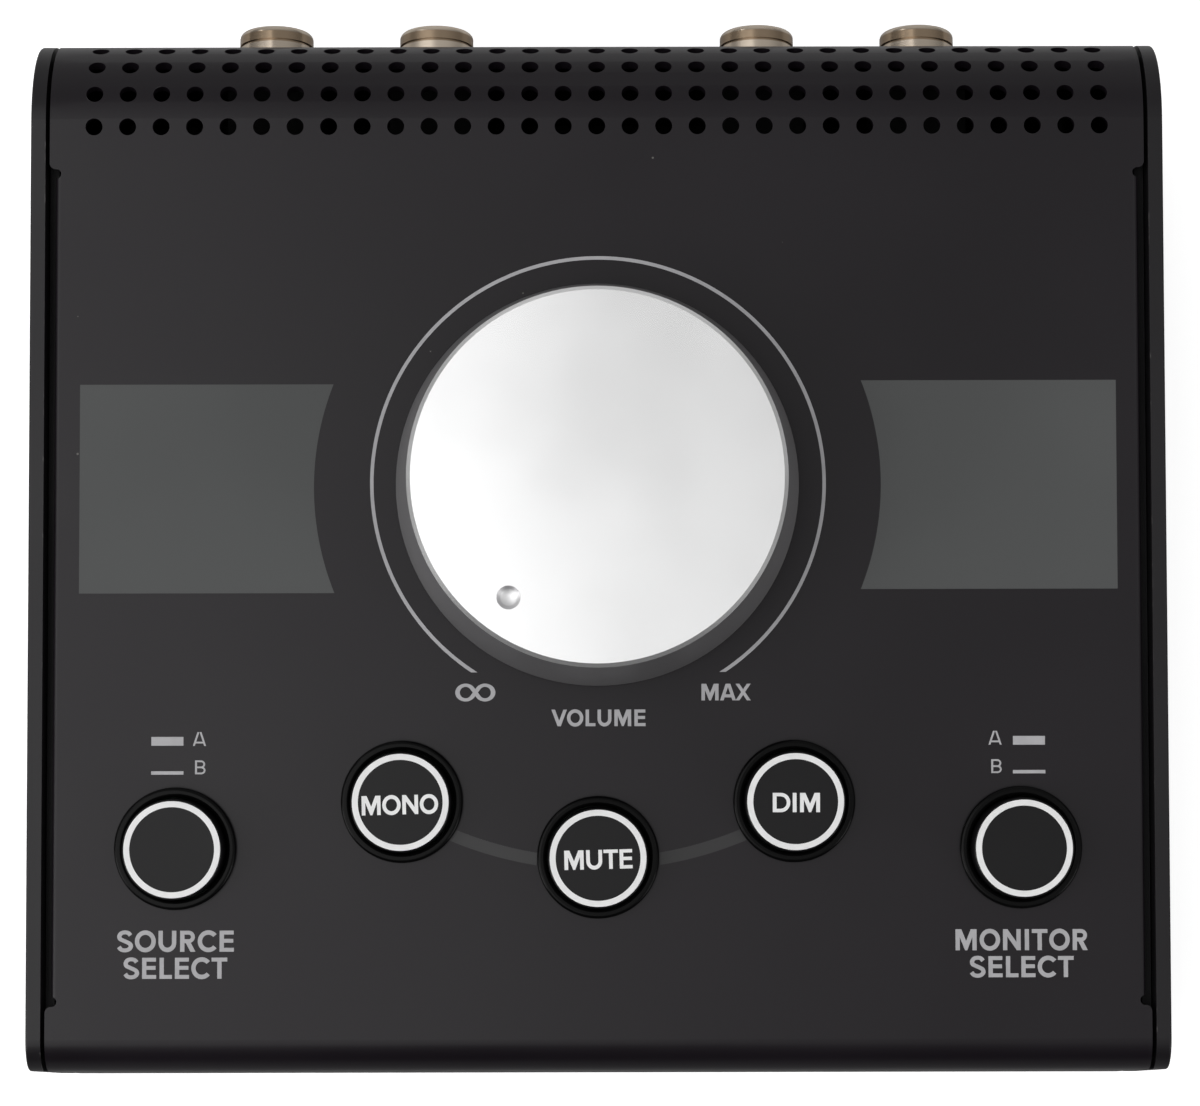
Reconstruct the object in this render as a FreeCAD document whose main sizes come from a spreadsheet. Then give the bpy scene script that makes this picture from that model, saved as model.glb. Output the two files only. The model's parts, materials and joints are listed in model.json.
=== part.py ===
"""Desktop studio monitor controller: a sloping steel case between two side cheeks,
with a large volume knob, five push buttons and two rows of 6.35 mm jacks.

Two frames are used. The case frame has its origin on the desk under the middle of the
controller, +Y to the rear and +Z up. The panel frame has its origin on the panel's outer
face at the knob's axis, +Y up the slope and +Z out of the panel.
"""
import FreeCAD, Part
import Sketcher
import math
import os
import re

from FreeCAD import Placement, Rotation, Vector

os.makedirs("parts", exist_ok=True)
doc = FreeCAD.newDocument("MonitorController")

# ---------------------------------------------------------------- driving dimensions, in mm
DRIVING_SIZES = {
    # case
    "case_width": 185.5,          # over both cheeks
    "panel_slope": 6.0,           # degrees, rising to the rear
    "knob_height": 54.0,          # desk to the panel's outer face at the knob's axis
    "panel_front": 89.85,         # flat panel from the knob's axis to the front bend
    "panel_rear": 60.2,           # flat panel from the knob's axis to the rear bend
    "front_bend": 5.5,            # outer radius
    "rear_bend": 14.4,            # outer radius
    "cover_sheet": 1.5,
    "rear_lip": 0.8,              # straight sheet below the rear bend
    "cheek_thickness": 2.45,
    "cheek_round": 0.4,           # rounding of a cheek's outer rim
    "cheek_corner": 3.0,          # radius of a cheek's two bottom corners
    "layer_slip": 0.1,            # between cheek, tray wall and flange
    "cover_edge_gap": 0.7,        # cheek to the sheet's edge outside the flanges
    # side flanges of the cover
    "flange_front_inset": 6.15,   # up the slope from the front bend
    "flange_rear_inset": 9.0,     # down the slope from the rear bend
    "flange_edge": 4.5,           # flange below its screws
    "flange_bend": 0.8,           # outer radius
    "relief_width": 1.6,
    "relief_reach": 0.9,          # in from the flange's outer face
    "relief_corner": 1.0,         # radius of the sheet's corners beside the reliefs
    # tray
    "tray_sheet": 1.5,
    "tray_slip": 0.3,             # inside the cover and the rear panel
    "tray_wall_drop": 4.8,        # side walls' top below the panel's outer face
    "tray_lip": 9.0,              # height of the front lip above the tray's floor
    "tab_width": 12.0,            # rear tabs that the rear panel is screwed to
    "panel_sheet": 1.5,           # rear panel
    # feet
    "foot_radius": 6.5,
    "foot_height": 3.5,
    "foot_round": 1.0,
    "foot_inset_x": 20.0,
    "foot_inset_y": 18.0,
    # cheek screws, M3 countersunk, and their press nuts
    "thread_radius": 1.5,
    "screw_play": 0.2,
    "thread_play": 0.05,
    "sink_radius": 2.8,
    "sink_land": 0.3,
    "cheek_screw_length": 8.0,
    "socket_flat": 2.0,
    "socket_depth": 1.0,
    "press_nut_radius": 3.2,
    "press_nut_length": 2.4,
    "upper_screw_front_inset": 27.6,  # up the slope from the front bend
    "upper_screw_rear_inset": 24.2,   # down the slope from the rear bend
    "upper_screw_drop": 7.5,      # below the panel's outer face
    "lower_screw_rise": 6.0,      # above the tray's floor
    # vent: rows of holes across the rear bend
    "vent_radius": 1.4,
    "vent_columns": 31,
    "vent_margin": 7.225,         # sheet's side edge to the outermost holes
    "vent_row_inset": 1.25,       # down the slope from the rear bend
    "vent_bend_rows": 4,
    "vent_row_angle": 22.3,       # degrees from row to row round the bend
    "vent_start_angle": 17.3,     # degrees from the bend's start to its first row
    # knob
    "knob_radius": 32.85,
    "knob_taper": 2.7,            # narrower at the top, on the radius
    "knob_lift": 1.0,
    "knob_rise": 20.0,
    "knob_wall": 2.4,
    "knob_web": 3.0,
    "knob_rim_round": 0.5,
    "disc_thickness": 1.5,
    "disc_chamfer": 0.65,
    "dimple_radius": 1.85,
    "dimple_depth": 0.7,
    "dimple_inset": 6.45,         # from the disc's edge
    "dimple_angle": 36.2,         # degrees left of straight down
    "hub_radius": 6.5,
    "hub_gap": 0.6,               # above the potentiometer's bushing
    "hub_slot_width": 1.2,
    "hub_slot_depth": 4.0,
    "clip_thickness": 0.6,
    "clip_width": 2.5,
    "clip_play": 0.02,
    # potentiometer
    "pot_width": 24.0,
    "pot_length": 25.0,
    "pot_corner": 1.5,
    "pot_height": 12.5,           # from the control board to the panel
    "shaft_radius": 3.0,
    "shaft_depth": 9.7,           # below the panel's outer face
    "shaft_flat": 1.5,            # from the axis to the flat
    "shaft_flat_start": 6.5,
    "running_play": 0.05,
    "bushing_radius": 4.5,
    "bushing_rise": 5.0,
    "bushing_play": 0.2,
    "pot_washer_radius": 7.5,
    "pot_washer_thickness": 0.8,
    "pot_nut_flats": 11.0,
    "pot_nut_height": 2.4,
    # push buttons
    "side_button_inset": 24.25,   # source and monitor select, from a cheek's outer face
    "side_button_lift": 1.5,      # source and monitor select, up the slope from mute
    "arc_button_reach": 60.5,     # mono, mute and dim, from the knob's axis
    "arc_button_angle": 31.7,     # degrees between mute and its neighbours
    "cap_radius": 8.1,
    "cap_rise": 5.3,
    "cap_skirt": 2.6,             # below the panel's outer face
    "cap_wall": 1.2,
    "cap_round": 0.45,
    "cap_top": 1.5,
    "cap_stem_radius": 3.6,
    "cap_play": 0.3,
    "button_travel": 3.0,
    "press_gap": 1.4,             # left between a pressed cap and its switch
    "bezel_width": 1.5,
    "bezel_sleeve": 0.8,
    "bezel_rise": 1.3,
    "bezel_round": 0.55,
    "bezel_depth": 2.9,
    "bezel_barb": 0.4,
    "bezel_play": 0.1,
    "plunger_radius": 2.0,
    "plunger_flange_radius": 2.6,
    "plunger_flange": 0.8,
    "switch_width": 10.0,
    "switch_wall": 1.0,
    "switch_bore_play": 0.3,      # round the plunger's flange
    "spring_radius": 2.2,
    "spring_wire": 0.18,
    "spring_turns": 4.0,
    "spring_seat_play": 0.04,
    # control board, standoffs and pan-head screws
    "board_thickness": 1.6,
    "board_margin": 6.5,          # round the outermost switches
    "board_rear": 22.0,
    "standoff_flats": 5.0,
    "standoff_thread_depth": 8.0,
    "board_screw_length": 6.0,
    "pan_head_radius": 2.75,
    "pan_head_height": 1.8,
    "standoff_inset": 3.5,        # from the board's edges
    "standoff_lift": 14.0,        # side ones, up the slope from the side buttons
    "standoff_front_reach": 16.0,  # front ones, from the middle
    # jacks
    "jack_pitch": 27.3,           # both rows leave the middle place empty
    "jack_upper_drop": 6.67,      # below the cover's rear edge
    "jack_lower_rise": 13.5,      # above the tray's floor
    "jack_bore_radius": 3.225,
    "barrel_radius": 4.7,
    "barrel_recess": 0.3,         # barrel's end inside the nut's outer face
    "barrel_play": 0.05,
    "jack_width": 15.0,
    "jack_height": 12.5,
    "jack_length": 25.0,
    "jack_floor": 1.0,
    "chamber_front": 6.0,         # from the rear panel's inner face
    "chamber_length": 13.0,
    "chamber_height": 9.4,
    "contact_reach": 3.75,        # from the jack's axis to a contact's inner face
    "contact_width": 2.0,
    "contact_thickness": 0.35,
    "contact_tail": 1.5,
    "jack_washer_radius": 6.5,
    "jack_washer_thickness": 0.6,
    "jack_nut_radius": 6.25,
    "jack_nut_length": 4.5,
    "jack_nut_round": 1.0,
    "nut_groove_width": 0.45,
    "nut_groove_depth": 0.3,
    "nut_groove_place": 1.7,      # from the nut's inner face
    "jack_board_margin": 4.0,     # round the outermost jack bodies
    # ribbon between the boards
    "ribbon_width": 12.7,
    "ribbon_thickness": 0.9,
    "ribbon_bend": 4.0,           # inner radius
    "ribbon_drop": 9.09,          # from its upper header to the jack board's
    "header_width": 16.0,
    "header_depth": 6.0,
    "header_height": 7.0,
    "header_inset": 4.0,          # control board's rear edge to the header
    # rear panel screws, M3 pan head; the upper pair is level with the upper jacks
    "rear_screw_rise": 7.0,       # lower pair, above the tray's floor
    "rear_screw_length": 6.0,
}

sizes = doc.addObject("Spreadsheet::Sheet", "Sizes")
for row, (alias, value) in enumerate(DRIVING_SIZES.items(), start=1):
    sizes.set(f"A{row}", alias)
    sizes.set(f"B{row}", str(value))
    sizes.setAlias(f"B{row}", alias)
doc.recompute()

# ---------------------------------------------------------------- places worked out from them
DERIVED_PLACES = {
    # corners that the panel's plane makes with the front and rear planes, along the slope
    "front_corner": "panel_front + front_bend*tan((90 - panel_slope)/2)",
    "rear_corner": "panel_rear + rear_bend*tan((90 + panel_slope)/2)",
    "jack_proud": "jack_washer_thickness + jack_nut_length",
    "knob_y": "((front_corner - rear_corner)*cos(panel_slope) - jack_proud)/2",
    "front_y": "knob_y - front_corner*cos(panel_slope)",
    "rear_y": "knob_y + rear_corner*cos(panel_slope)",
    "front_top": "knob_height - front_corner*sin(panel_slope)",
    "rear_top": "knob_height + rear_corner*sin(panel_slope)",
    "cover_rear_edge": "knob_height + panel_rear*sin(panel_slope)"
                       " - rear_bend*cos(panel_slope) - rear_lip",
    # the sandwich of cheek, tray wall and flange, from outside to inside
    "case_half": "case_width/2",
    "cheek_inner": "case_half - cheek_thickness",
    "tray_outer": "cheek_inner - layer_slip",
    "tray_inner": "tray_outer - tray_sheet",
    "flange_outer": "tray_inner - layer_slip",
    "flange_inner": "flange_outer - cover_sheet",
    "cover_half": "cheek_inner - cover_edge_gap",
    "relief_inner": "flange_outer - relief_reach",
    "floor_top": "foot_height + tray_sheet",
    "flange_front": "panel_front - flange_front_inset",
    "flange_rear": "panel_rear - flange_rear_inset",
    "flange_depth": "upper_screw_drop + flange_edge",
    "vent_pitch": "2*(cover_half - vent_margin)/(vent_columns - 1)",
    "vent_first_row": "panel_rear - vent_row_inset",
    # heights in the panel frame
    "board_top": "-cover_sheet - pot_height",
    "board_under": "board_top - board_thickness",
    "hub_bottom": "bushing_rise + hub_gap",
    "web_bottom": "knob_rise - disc_thickness - knob_web",
    "knob_top_radius": "knob_radius - knob_taper",
    "dimple_reach": "knob_top_radius - dimple_inset",
    "dimple_ball": "(dimple_radius*dimple_radius/dimple_depth + dimple_depth)/2",
    "shaft_rise": "web_bottom",
    "plunger_top": "cap_rise - cap_top",
    "switch_top": "-cap_skirt - button_travel - press_gap",
    "cavity_top": "switch_top - switch_wall",
    "cavity_floor": "board_top + switch_wall",
    "flange_top": "cavity_top - running_play",
    "flange_bottom": "flange_top - plunger_flange",
    "switch_bore_radius": "plunger_flange_radius + switch_bore_play",
    "bezel_bore": "cap_radius + cap_play",
    "bezel_sleeve_radius": "bezel_bore + bezel_sleeve",
    "button_hole_radius": "bezel_sleeve_radius + bezel_play",
    # along the panel from the knob's axis
    "side_button_reach": "case_half - side_button_inset",
    "side_button_drop": "arc_button_reach - side_button_lift",
    "board_half_width": "side_button_reach + switch_width/2 + board_margin",
    "board_front": "arc_button_reach + switch_width/2 + board_margin",
    "standoff_side": "board_half_width - standoff_inset",
    # rear
    "panel_inner_y": "rear_y - panel_sheet",
    "tray_front_y": "front_y + cover_sheet + tray_slip",
    "tray_rear_y": "panel_inner_y",
    "jack_back_y": "panel_inner_y - jack_length",
    "jack_board_y": "jack_back_y - board_thickness",
    "barrel_end_y": "rear_y + jack_proud - barrel_recess",
    "jack_first_x": "jack_pitch",
    "jack_second_x": "2*jack_pitch",
    "jack_upper_height": "cover_rear_edge - jack_upper_drop",
    "jack_lower_height": "floor_top + jack_lower_rise",
    "rear_screw_x": "tray_inner - tab_width/2",
    "rear_screw_lower": "floor_top + rear_screw_rise",
    "nut_bore_radius": "barrel_radius + barrel_play",
    "screw_hole_radius": "thread_radius + screw_play",
    "press_nut_bore": "thread_radius + thread_play",
    # where the cheek screws cross the side walls
    "upper_screw_front": "panel_front - upper_screw_front_inset",
    "upper_screw_rear": "panel_rear - upper_screw_rear_inset",
    "lower_screw_height": "floor_top + lower_screw_rise",
    "upper_front_y": "knob_y - upper_screw_front*cos(panel_slope) + upper_screw_drop*sin(panel_slope)",
    "upper_front_z": "knob_height - upper_screw_front*sin(panel_slope)"
                     " - upper_screw_drop*cos(panel_slope)",
    "upper_rear_y": "knob_y + upper_screw_rear*cos(panel_slope) + upper_screw_drop*sin(panel_slope)",
    "upper_rear_z": "knob_height + upper_screw_rear*sin(panel_slope)"
                    " - upper_screw_drop*cos(panel_slope)",
    # ribbon: it leaves the control board along the panel's inward normal
    "ribbon_v": "board_rear - header_inset - header_depth/2",
    "ribbon_start_y": "knob_y + ribbon_v*cos(panel_slope) - (board_under - header_height)*sin(panel_slope)",
    "ribbon_start_z": "knob_height + ribbon_v*sin(panel_slope)"
                      " + (board_under - header_height)*cos(panel_slope)",
    "ribbon_height": "ribbon_start_z - ribbon_drop",
    "ribbon_end_y": "jack_board_y - header_height",
    "ribbon_corner_y": "ribbon_start_y + (ribbon_start_z - ribbon_height)*tan(panel_slope)",
}

owner = {alias: "Sizes." for alias in DRIVING_SIZES}
places = doc.addObject("App::VarSet", "Places")


def formula(text):
    """The text as an expression: each size or place gets the name of the object that holds it."""
    return re.sub(r"[a-z]\w*", lambda word: owner.get(word[0], "") + word[0], text)


for alias, text in DERIVED_PLACES.items():
    places.addProperty("App::PropertyFloat", alias, "Places")
    places.setExpression(alias, formula(text).replace("Places.", ""))
    owner[alias] = "Places."
doc.recompute()

parts = {}  # label: the object whose shape is that sub-part


# ---------------------------------------------------------------- frames, sketches, features
def seat(thing, x="0", y="0", z="0"):
    """Put a thing in the case frame."""
    thing.setExpression("Placement.Base.x", formula(x))
    thing.setExpression("Placement.Base.y", formula(y))
    thing.setExpression("Placement.Base.z", formula(z))


def seat_on_panel(thing, x="0", y="0"):
    """Put a thing in the panel frame, moved by x and y along the panel."""
    thing.Placement = Placement(Vector(), Rotation(Vector(1, 0, 0), 1))
    thing.setExpression("Placement.Rotation.Angle", formula("panel_slope"))
    seat(thing, x, f"knob_y + ({y})*cos(panel_slope)", f"knob_height + ({y})*sin(panel_slope)")


def new_body(label, is_part=True):
    """A body with a label of its own; a body that only copies are made of is not a sub-part."""
    body = doc.addObject("PartDesign::Body", label)
    if is_part:
        parts[label] = body
    return body


def origin(body, role):
    """The body's own origin plane or axis with that role."""
    return next(item for item in body.Origin.OriginFeatures if item.Role == role)


def new_sketch(body, name, role, lift=None):
    """A sketch on an origin plane of the body, lifted off it along its normal."""
    sketch = body.newObject("Sketcher::SketchObject", name)
    sketch.AttachmentSupport = [(origin(body, role), "")]
    sketch.MapMode = "FlatFace"
    if lift:
        sketch.setExpression("AttachmentOffset.Base.z", formula(lift))
    return sketch


def hold(sketch, kind, geometry, name, text):
    """A named constraint whose value is an expression."""
    index = sketch.addConstraint(Sketcher.Constraint(kind, *geometry, 1.0))
    sketch.renameConstraint(index, name)
    sketch.setExpression(f"Constraints.{name}", formula(text))


def add_outline(sketch, corners):
    """A closed outline through the corners, each a pair of expressions."""
    first = sketch.GeometryCount
    count = len(corners)
    ring = [Vector(math.cos(2*math.pi*k/count), math.sin(2*math.pi*k/count), 0) for k in range(count)]
    for k in range(count):
        sketch.addGeometry(Part.LineSegment(ring[k], ring[(k + 1) % count]))
    for k in range(count):
        sketch.addConstraint(Sketcher.Constraint("Coincident", first + k, 2, first + (k + 1) % count, 1))
    for k, (across, up) in enumerate(corners, start=first):
        hold(sketch, "DistanceX", (-1, 1, k, 1), f"across_{k}", across)
        hold(sketch, "DistanceY", (-1, 1, k, 1), f"up_{k}", up)


def add_box(sketch, left, right, low, high):
    """A closed rectangle between four expressions."""
    add_outline(sketch, [(left, low), (right, low), (right, high), (left, high)])


def add_circle(sketch, radius, across="0", up="0"):
    """A circle with its radius and centre held by expressions."""
    k = sketch.addGeometry(Part.Circle(Vector(0, 0, 0), Vector(0, 0, 1), 1))
    hold(sketch, "Radius", (k,), f"radius_{k}", radius)
    hold(sketch, "DistanceX", (-1, 1, k, 3), f"across_{k}", across)
    hold(sketch, "DistanceY", (-1, 1, k, 3), f"up_{k}", up)


def add_hexagon(sketch, flats, across="0", up="0"):
    """A hexagon with its size across flats and its centre held by expressions."""
    reach = f"({flats})/(2*cos(30))"
    turns = [60*k for k in range(6)]
    add_outline(sketch, [(f"{across} + {reach}*cos({turn})", f"{up} + {reach}*sin({turn})")
                         for turn in turns])


def pad(body, sketch, length, both_ways=False, backwards=False):
    feature = body.newObject("PartDesign::Pad", f"{sketch.Label}_pad")
    feature.Profile = sketch
    feature.SideType = "Symmetric" if both_ways else "One side"
    feature.Reversed = backwards
    feature.setExpression("Length", formula(length))
    return feature


def pocket(body, sketch, length=None, both_ways=False, backwards=False):
    """Cut to a length, or through everything; a cut that takes nothing away stops the build."""
    doc.recompute()
    before = body.Shape.Volume
    feature = body.newObject("PartDesign::Pocket", f"{sketch.Label}_cut")
    feature.Profile = sketch
    feature.SideType = "Symmetric" if both_ways else "One side"
    feature.Reversed = backwards
    if length:
        feature.setExpression("Length", formula(length))
    else:
        feature.Type = "ThroughAll"
    doc.recompute()
    if body.Shape.Volume >= before:
        raise RuntimeError(f"{body.Label}: {feature.Label} cuts nothing")
    return feature


def turn(body, sketch):
    """Revolve an outline of the XZ plane, radius across and height up, round the body's Z axis."""
    feature = body.newObject("PartDesign::Revolution", f"{sketch.Label}_turned")
    feature.Profile = sketch
    feature.ReferenceAxis = (sketch, ["V_Axis"])
    feature.Angle = 360
    return feature


def turned_body(label, corners, is_part=True):
    body = new_body(label, is_part)
    sketch = new_sketch(body, f"{label}_profile", "XZ_Plane")
    add_outline(sketch, corners)
    turn(body, sketch)
    return body


def dress(body, kind, size, wanted):
    """Fillet or chamfer the edges that a test picks."""
    doc.recompute()
    base = body.Tip
    names = [f"Edge{k}" for k, edge in enumerate(base.Shape.Edges, start=1) if wanted(edge)]
    if not names:
        raise RuntimeError(f"{body.Label}: no edge to dress")
    feature = body.newObject(f"PartDesign::{kind}", f"{body.Label}_{kind.lower()}")
    feature.Base = (base, names)
    feature.setExpression("Radius" if kind == "Fillet" else "Size", formula(size))
    doc.recompute()
    return feature


def mirror(body, features, role="YZ_Plane"):
    doc.recompute()
    feature = body.newObject("PartDesign::Mirrored", f"{features[0].Label}_mirrored")
    feature.Originals = features
    feature.MirrorPlane = (origin(body, role), [""])
    body.Tip = feature
    doc.recompute()
    return feature


def group(label, master, seats):
    """A sub-part of separate, identical solids: one copy of the master for each seat."""
    copies = []
    for k, place in enumerate(seats, start=1):
        copy = doc.addObject("App::Link", f"{label}_{k}")
        copy.LinkedObject = master
        place(copy)
        copies.append(copy)
    compound = doc.addObject("Part::Compound", label)
    compound.Links = copies
    parts[label] = compound
    return compound


def value(text):
    """The present value of an expression of sizes and places."""
    return float(places.evalExpression(formula(text).replace("Places.", "")))


def near(point, y=None, z=None, x=None, within=0.01):
    """Whether a point has the wanted coordinates."""
    pairs = ((point.x, x), (point.y, y), (point.z, z))
    return all(want is None or abs(have - want) < within for have, want in pairs)


def runs_along(edge, axis):
    """Whether an edge is straight and lies along an axis."""
    if edge.Curve.TypeId != "Part::GeomLine":
        return False
    return abs(edge.tangentAt(edge.FirstParameter).dot(axis)) > 0.999


X_AXIS = Vector(1, 0, 0)
Y_AXIS = Vector(0, 1, 0)
Z_AXIS = Vector(0, 0, 1)

# ================================================================ case

# ---- top cover: one sheet, bent down at the front, round the rear and along both sides.
# It is made in the panel frame.
drop = {"front": "(front_top - foot_height)", "rear": "(rear_top - foot_height)"}
cover = new_body("top_cover")
seat_on_panel(cover)
silhouette = new_sketch(cover, "cover_silhouette", "YZ_Plane")
add_outline(silhouette, [
    (f"-front_corner - {drop['front']}*sin(panel_slope)", f"-{drop['front']}*cos(panel_slope)"),
    ("-front_corner", "0"),
    ("rear_corner", "0"),
    (f"rear_corner - {drop['rear']}*sin(panel_slope)", f"-{drop['rear']}*cos(panel_slope)"),
])
pad(cover, silhouette, "2*cover_half", both_ways=True)
dress(cover, "Fillet", "front_bend",
      lambda edge: runs_along(edge, X_AXIS) and near(edge.CenterOfMass, y=-value("front_corner"), z=0))
dress(cover, "Fillet", "rear_bend",
      lambda edge: runs_along(edge, X_AXIS) and near(edge.CenterOfMass, y=value("rear_corner"), z=0))
block = cover.Tip
case_down = Vector(0, -math.sin(math.radians(value("panel_slope"))),
                   -math.cos(math.radians(value("panel_slope"))))
open_faces = [f"Face{k}" for k, face in enumerate(block.Shape.Faces, start=1)
              if abs(face.normalAt(0, 0).x) > 0.99 or face.normalAt(0, 0).dot(case_down) > 0.999]
shell = cover.newObject("PartDesign::Thickness", "cover_sheet_shell")
shell.Base = (block, open_faces)
shell.Reversed = True
shell.setExpression("Value", formula("cover_sheet"))

# the rear face is a panel of its own, so the sheet ends just below the rear bend
rear_window = new_sketch(cover, "cover_rear_window", "YZ_Plane")
window_drop = "(rear_top - cover_rear_edge)"
window_bottom = "(rear_top - foot_height + 1)"
inward = ("-4*cover_sheet*cos(panel_slope)", "4*cover_sheet*sin(panel_slope)")
outward = ("4*cover_sheet*cos(panel_slope)", "-4*cover_sheet*sin(panel_slope)")
add_outline(rear_window, [
    (f"rear_corner - {depth}*sin(panel_slope) + {way[0]}", f"-{depth}*cos(panel_slope) + {way[1]}")
    for depth, way in ((window_drop, inward), (window_drop, outward),
                       (window_bottom, outward), (window_bottom, inward))
])
pocket(cover, rear_window, both_ways=True)

# between the bend reliefs the sheet is narrower, and turns down into the two flanges
side_strip = new_sketch(cover, "cover_side_strip", "XY_Plane", lift="-2*cover_sheet")
add_box(side_strip, "flange_outer", "case_half", "-flange_front", "flange_rear")
strip_cut = pocket(cover, side_strip, "4*cover_sheet", backwards=True)
mirror(cover, [strip_cut])
flange = new_sketch(cover, "cover_flange", "XY_Plane")
add_box(flange, "flange_inner", "flange_outer", "-flange_front", "flange_rear")
flange_pad = pad(cover, flange, "flange_depth", backwards=True)
mirror(cover, [flange_pad])
relief = new_sketch(cover, "cover_relief", "XY_Plane", lift="-flange_depth - 1")
for low, high in (("-flange_front - relief_width/2", "-flange_front + relief_width/2"),
                  ("flange_rear - relief_width/2", "flange_rear + relief_width/2")):
    add_box(relief, "relief_inner + relief_width/2", "case_half", low, high)
relief_cut = pocket(cover, relief, "flange_depth + 2", backwards=True)
relief_eye = new_sketch(cover, "cover_relief_eye", "XY_Plane", lift="-flange_depth - 1")
for along in ("-flange_front", "flange_rear"):
    add_circle(relief_eye, "relief_width/2", "relief_inner + relief_width/2", along)
eye_cut = pocket(cover, relief_eye, "flange_depth + 2", backwards=True)
mirror(cover, [relief_cut, eye_cut])
dress(cover, "Fillet", "flange_bend",
      lambda edge: runs_along(edge, Y_AXIS) and near(edge.CenterOfMass, z=0)
      and abs(abs(edge.CenterOfMass.x) - value("flange_outer")) < 0.01)
dress(cover, "Fillet", "relief_corner", lambda edge: runs_along(edge, Z_AXIS)
      and abs(abs(edge.CenterOfMass.x) - value("cover_half")) < 0.01
      and min(abs(edge.CenterOfMass.y + value("flange_front") + value("relief_width")/2),
              abs(edge.CenterOfMass.y - value("flange_rear") - value("relief_width")/2)) < 0.01)

flange_holes = new_sketch(cover, "cover_flange_holes", "YZ_Plane")
add_circle(flange_holes, "screw_hole_radius", "-upper_screw_front", "-upper_screw_drop")
add_circle(flange_holes, "screw_hole_radius", "upper_screw_rear", "-upper_screw_drop")
pocket(cover, flange_holes, "2*case_width", both_ways=True)

# ---- where the push buttons are, along the panel from the knob's axis
arc_x = "arc_button_reach*sin(arc_button_angle)"
arc_y = "-arc_button_reach*cos(arc_button_angle)"
BUTTONS = {
    "mono": (f"-{arc_x}", arc_y),
    "mute": ("0", "-arc_button_reach"),
    "dim": (arc_x, arc_y),
    "source_select": ("-side_button_reach", "-side_button_drop"),
    "monitor_select": ("side_button_reach", "-side_button_drop"),
}
control_holes = new_sketch(cover, "cover_control_holes", "XY_Plane", lift="-2*cover_sheet")
add_circle(control_holes, "bushing_radius + bushing_play")
for across, along in BUTTONS.values():
    add_circle(control_holes, "button_hole_radius", across, along)
pocket(cover, control_holes, "4*cover_sheet", backwards=True)

# ---- vent: one row of holes on the flat, and rows round the rear bend
def add_vent_row(sketch, along):
    """A row of vent holes across the whole sheet."""
    for column in range(round(value("vent_columns"))):
        add_circle(sketch, "vent_radius", f"vent_pitch*({column} - (vent_columns - 1)/2)", along)


flat_vent = new_sketch(cover, "vent_flat_row", "XY_Plane", lift="-2*cover_sheet")
add_vent_row(flat_vent, "vent_first_row")
pocket(cover, flat_vent, "4*cover_sheet", backwards=True)

bend_vent = new_sketch(cover, "vent_bend_row", "XY_Plane")
bend_vent.AttachmentOffset = Placement(Vector(), Rotation(Vector(-1, 0, 0), 1))
bend_vent.setExpression("AttachmentOffset.Base.y", formula("panel_rear"))
bend_vent.setExpression("AttachmentOffset.Base.z", formula("-rear_bend"))
bend_vent.setExpression("AttachmentOffset.Rotation.Angle", formula("vent_start_angle"))
add_vent_row(bend_vent, "0")
bend_vent_cut = pocket(cover, bend_vent, "rear_bend + cover_sheet", backwards=True)
bend_rows = cover.newObject("PartDesign::PolarPattern", "vent_bend_rows")
bend_rows.Originals = [bend_vent_cut]
bend_rows.Axis = (bend_vent, ["H_Axis"])
bend_rows.Reversed = True
bend_rows.Mode = "Spacing"
bend_rows.setExpression("Offset", formula("vent_row_angle"))
bend_rows.setExpression("Occurrences", formula("vent_bend_rows"))
cover.Tip = bend_rows
doc.recompute()

# ---- cheeks: plates that follow the whole side, in the case frame
SIDE_CORNERS = [("front_y", "foot_height"), ("front_y", "front_top"),
                ("rear_y", "rear_top"), ("rear_y", "foot_height")]
CHEEK_SCREWS = [("upper_front_y", "upper_front_z"), ("upper_rear_y", "upper_rear_z"),
                ("upper_front_y", "lower_screw_height"), ("upper_rear_y", "lower_screw_height")]


def cheek(label, side):
    """A cheek on the side given by the sign; its screws are sunk in its outer face."""
    body = new_body(label)
    outer = "case_half" if side > 0 else "-case_half"
    inwards = side > 0
    plate = new_sketch(body, f"{label}_plate", "YZ_Plane", lift=outer)
    add_outline(plate, SIDE_CORNERS)
    pad(body, plate, "cheek_thickness", backwards=inwards)
    for size, y, z in (("front_bend", "front_y", "front_top"), ("rear_bend", "rear_y", "rear_top"),
                       ("cheek_corner", "front_y", "foot_height"),
                       ("cheek_corner", "rear_y", "foot_height")):
        dress(body, "Fillet", size, lambda edge: runs_along(edge, X_AXIS)
              and near(edge.CenterOfMass, y=value(y), z=value(z)))
    dress(body, "Fillet", "cheek_round", lambda edge: near(edge.CenterOfMass, x=side*value("case_half"))
          and near(edge.valueAt(edge.FirstParameter), x=side*value("case_half")))
    holes = new_sketch(body, f"{label}_holes", "YZ_Plane", lift=outer)
    sinks = new_sketch(body, f"{label}_sinks", "YZ_Plane", lift=outer)
    for y, z in CHEEK_SCREWS:
        add_circle(holes, "screw_hole_radius", y, z)
        add_circle(sinks, "sink_radius + screw_play", y, z)
    pocket(body, holes, "cheek_thickness", backwards=not inwards)
    pocket(body, sinks, "sink_land", backwards=not inwards)
    sink_floor = value("case_half") - value("sink_land")
    dress(body, "Chamfer", "sink_radius - thread_radius - thread_play",
          lambda edge: edge.Curve.TypeId == "Part::GeomCircle"
          and near(edge.CenterOfMass, x=side*sink_floor)
          and abs(edge.Curve.Radius - value("screw_hole_radius")) < 0.01)
    return body


cheek("left_cheek", -1)
cheek("right_cheek", 1)

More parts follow.
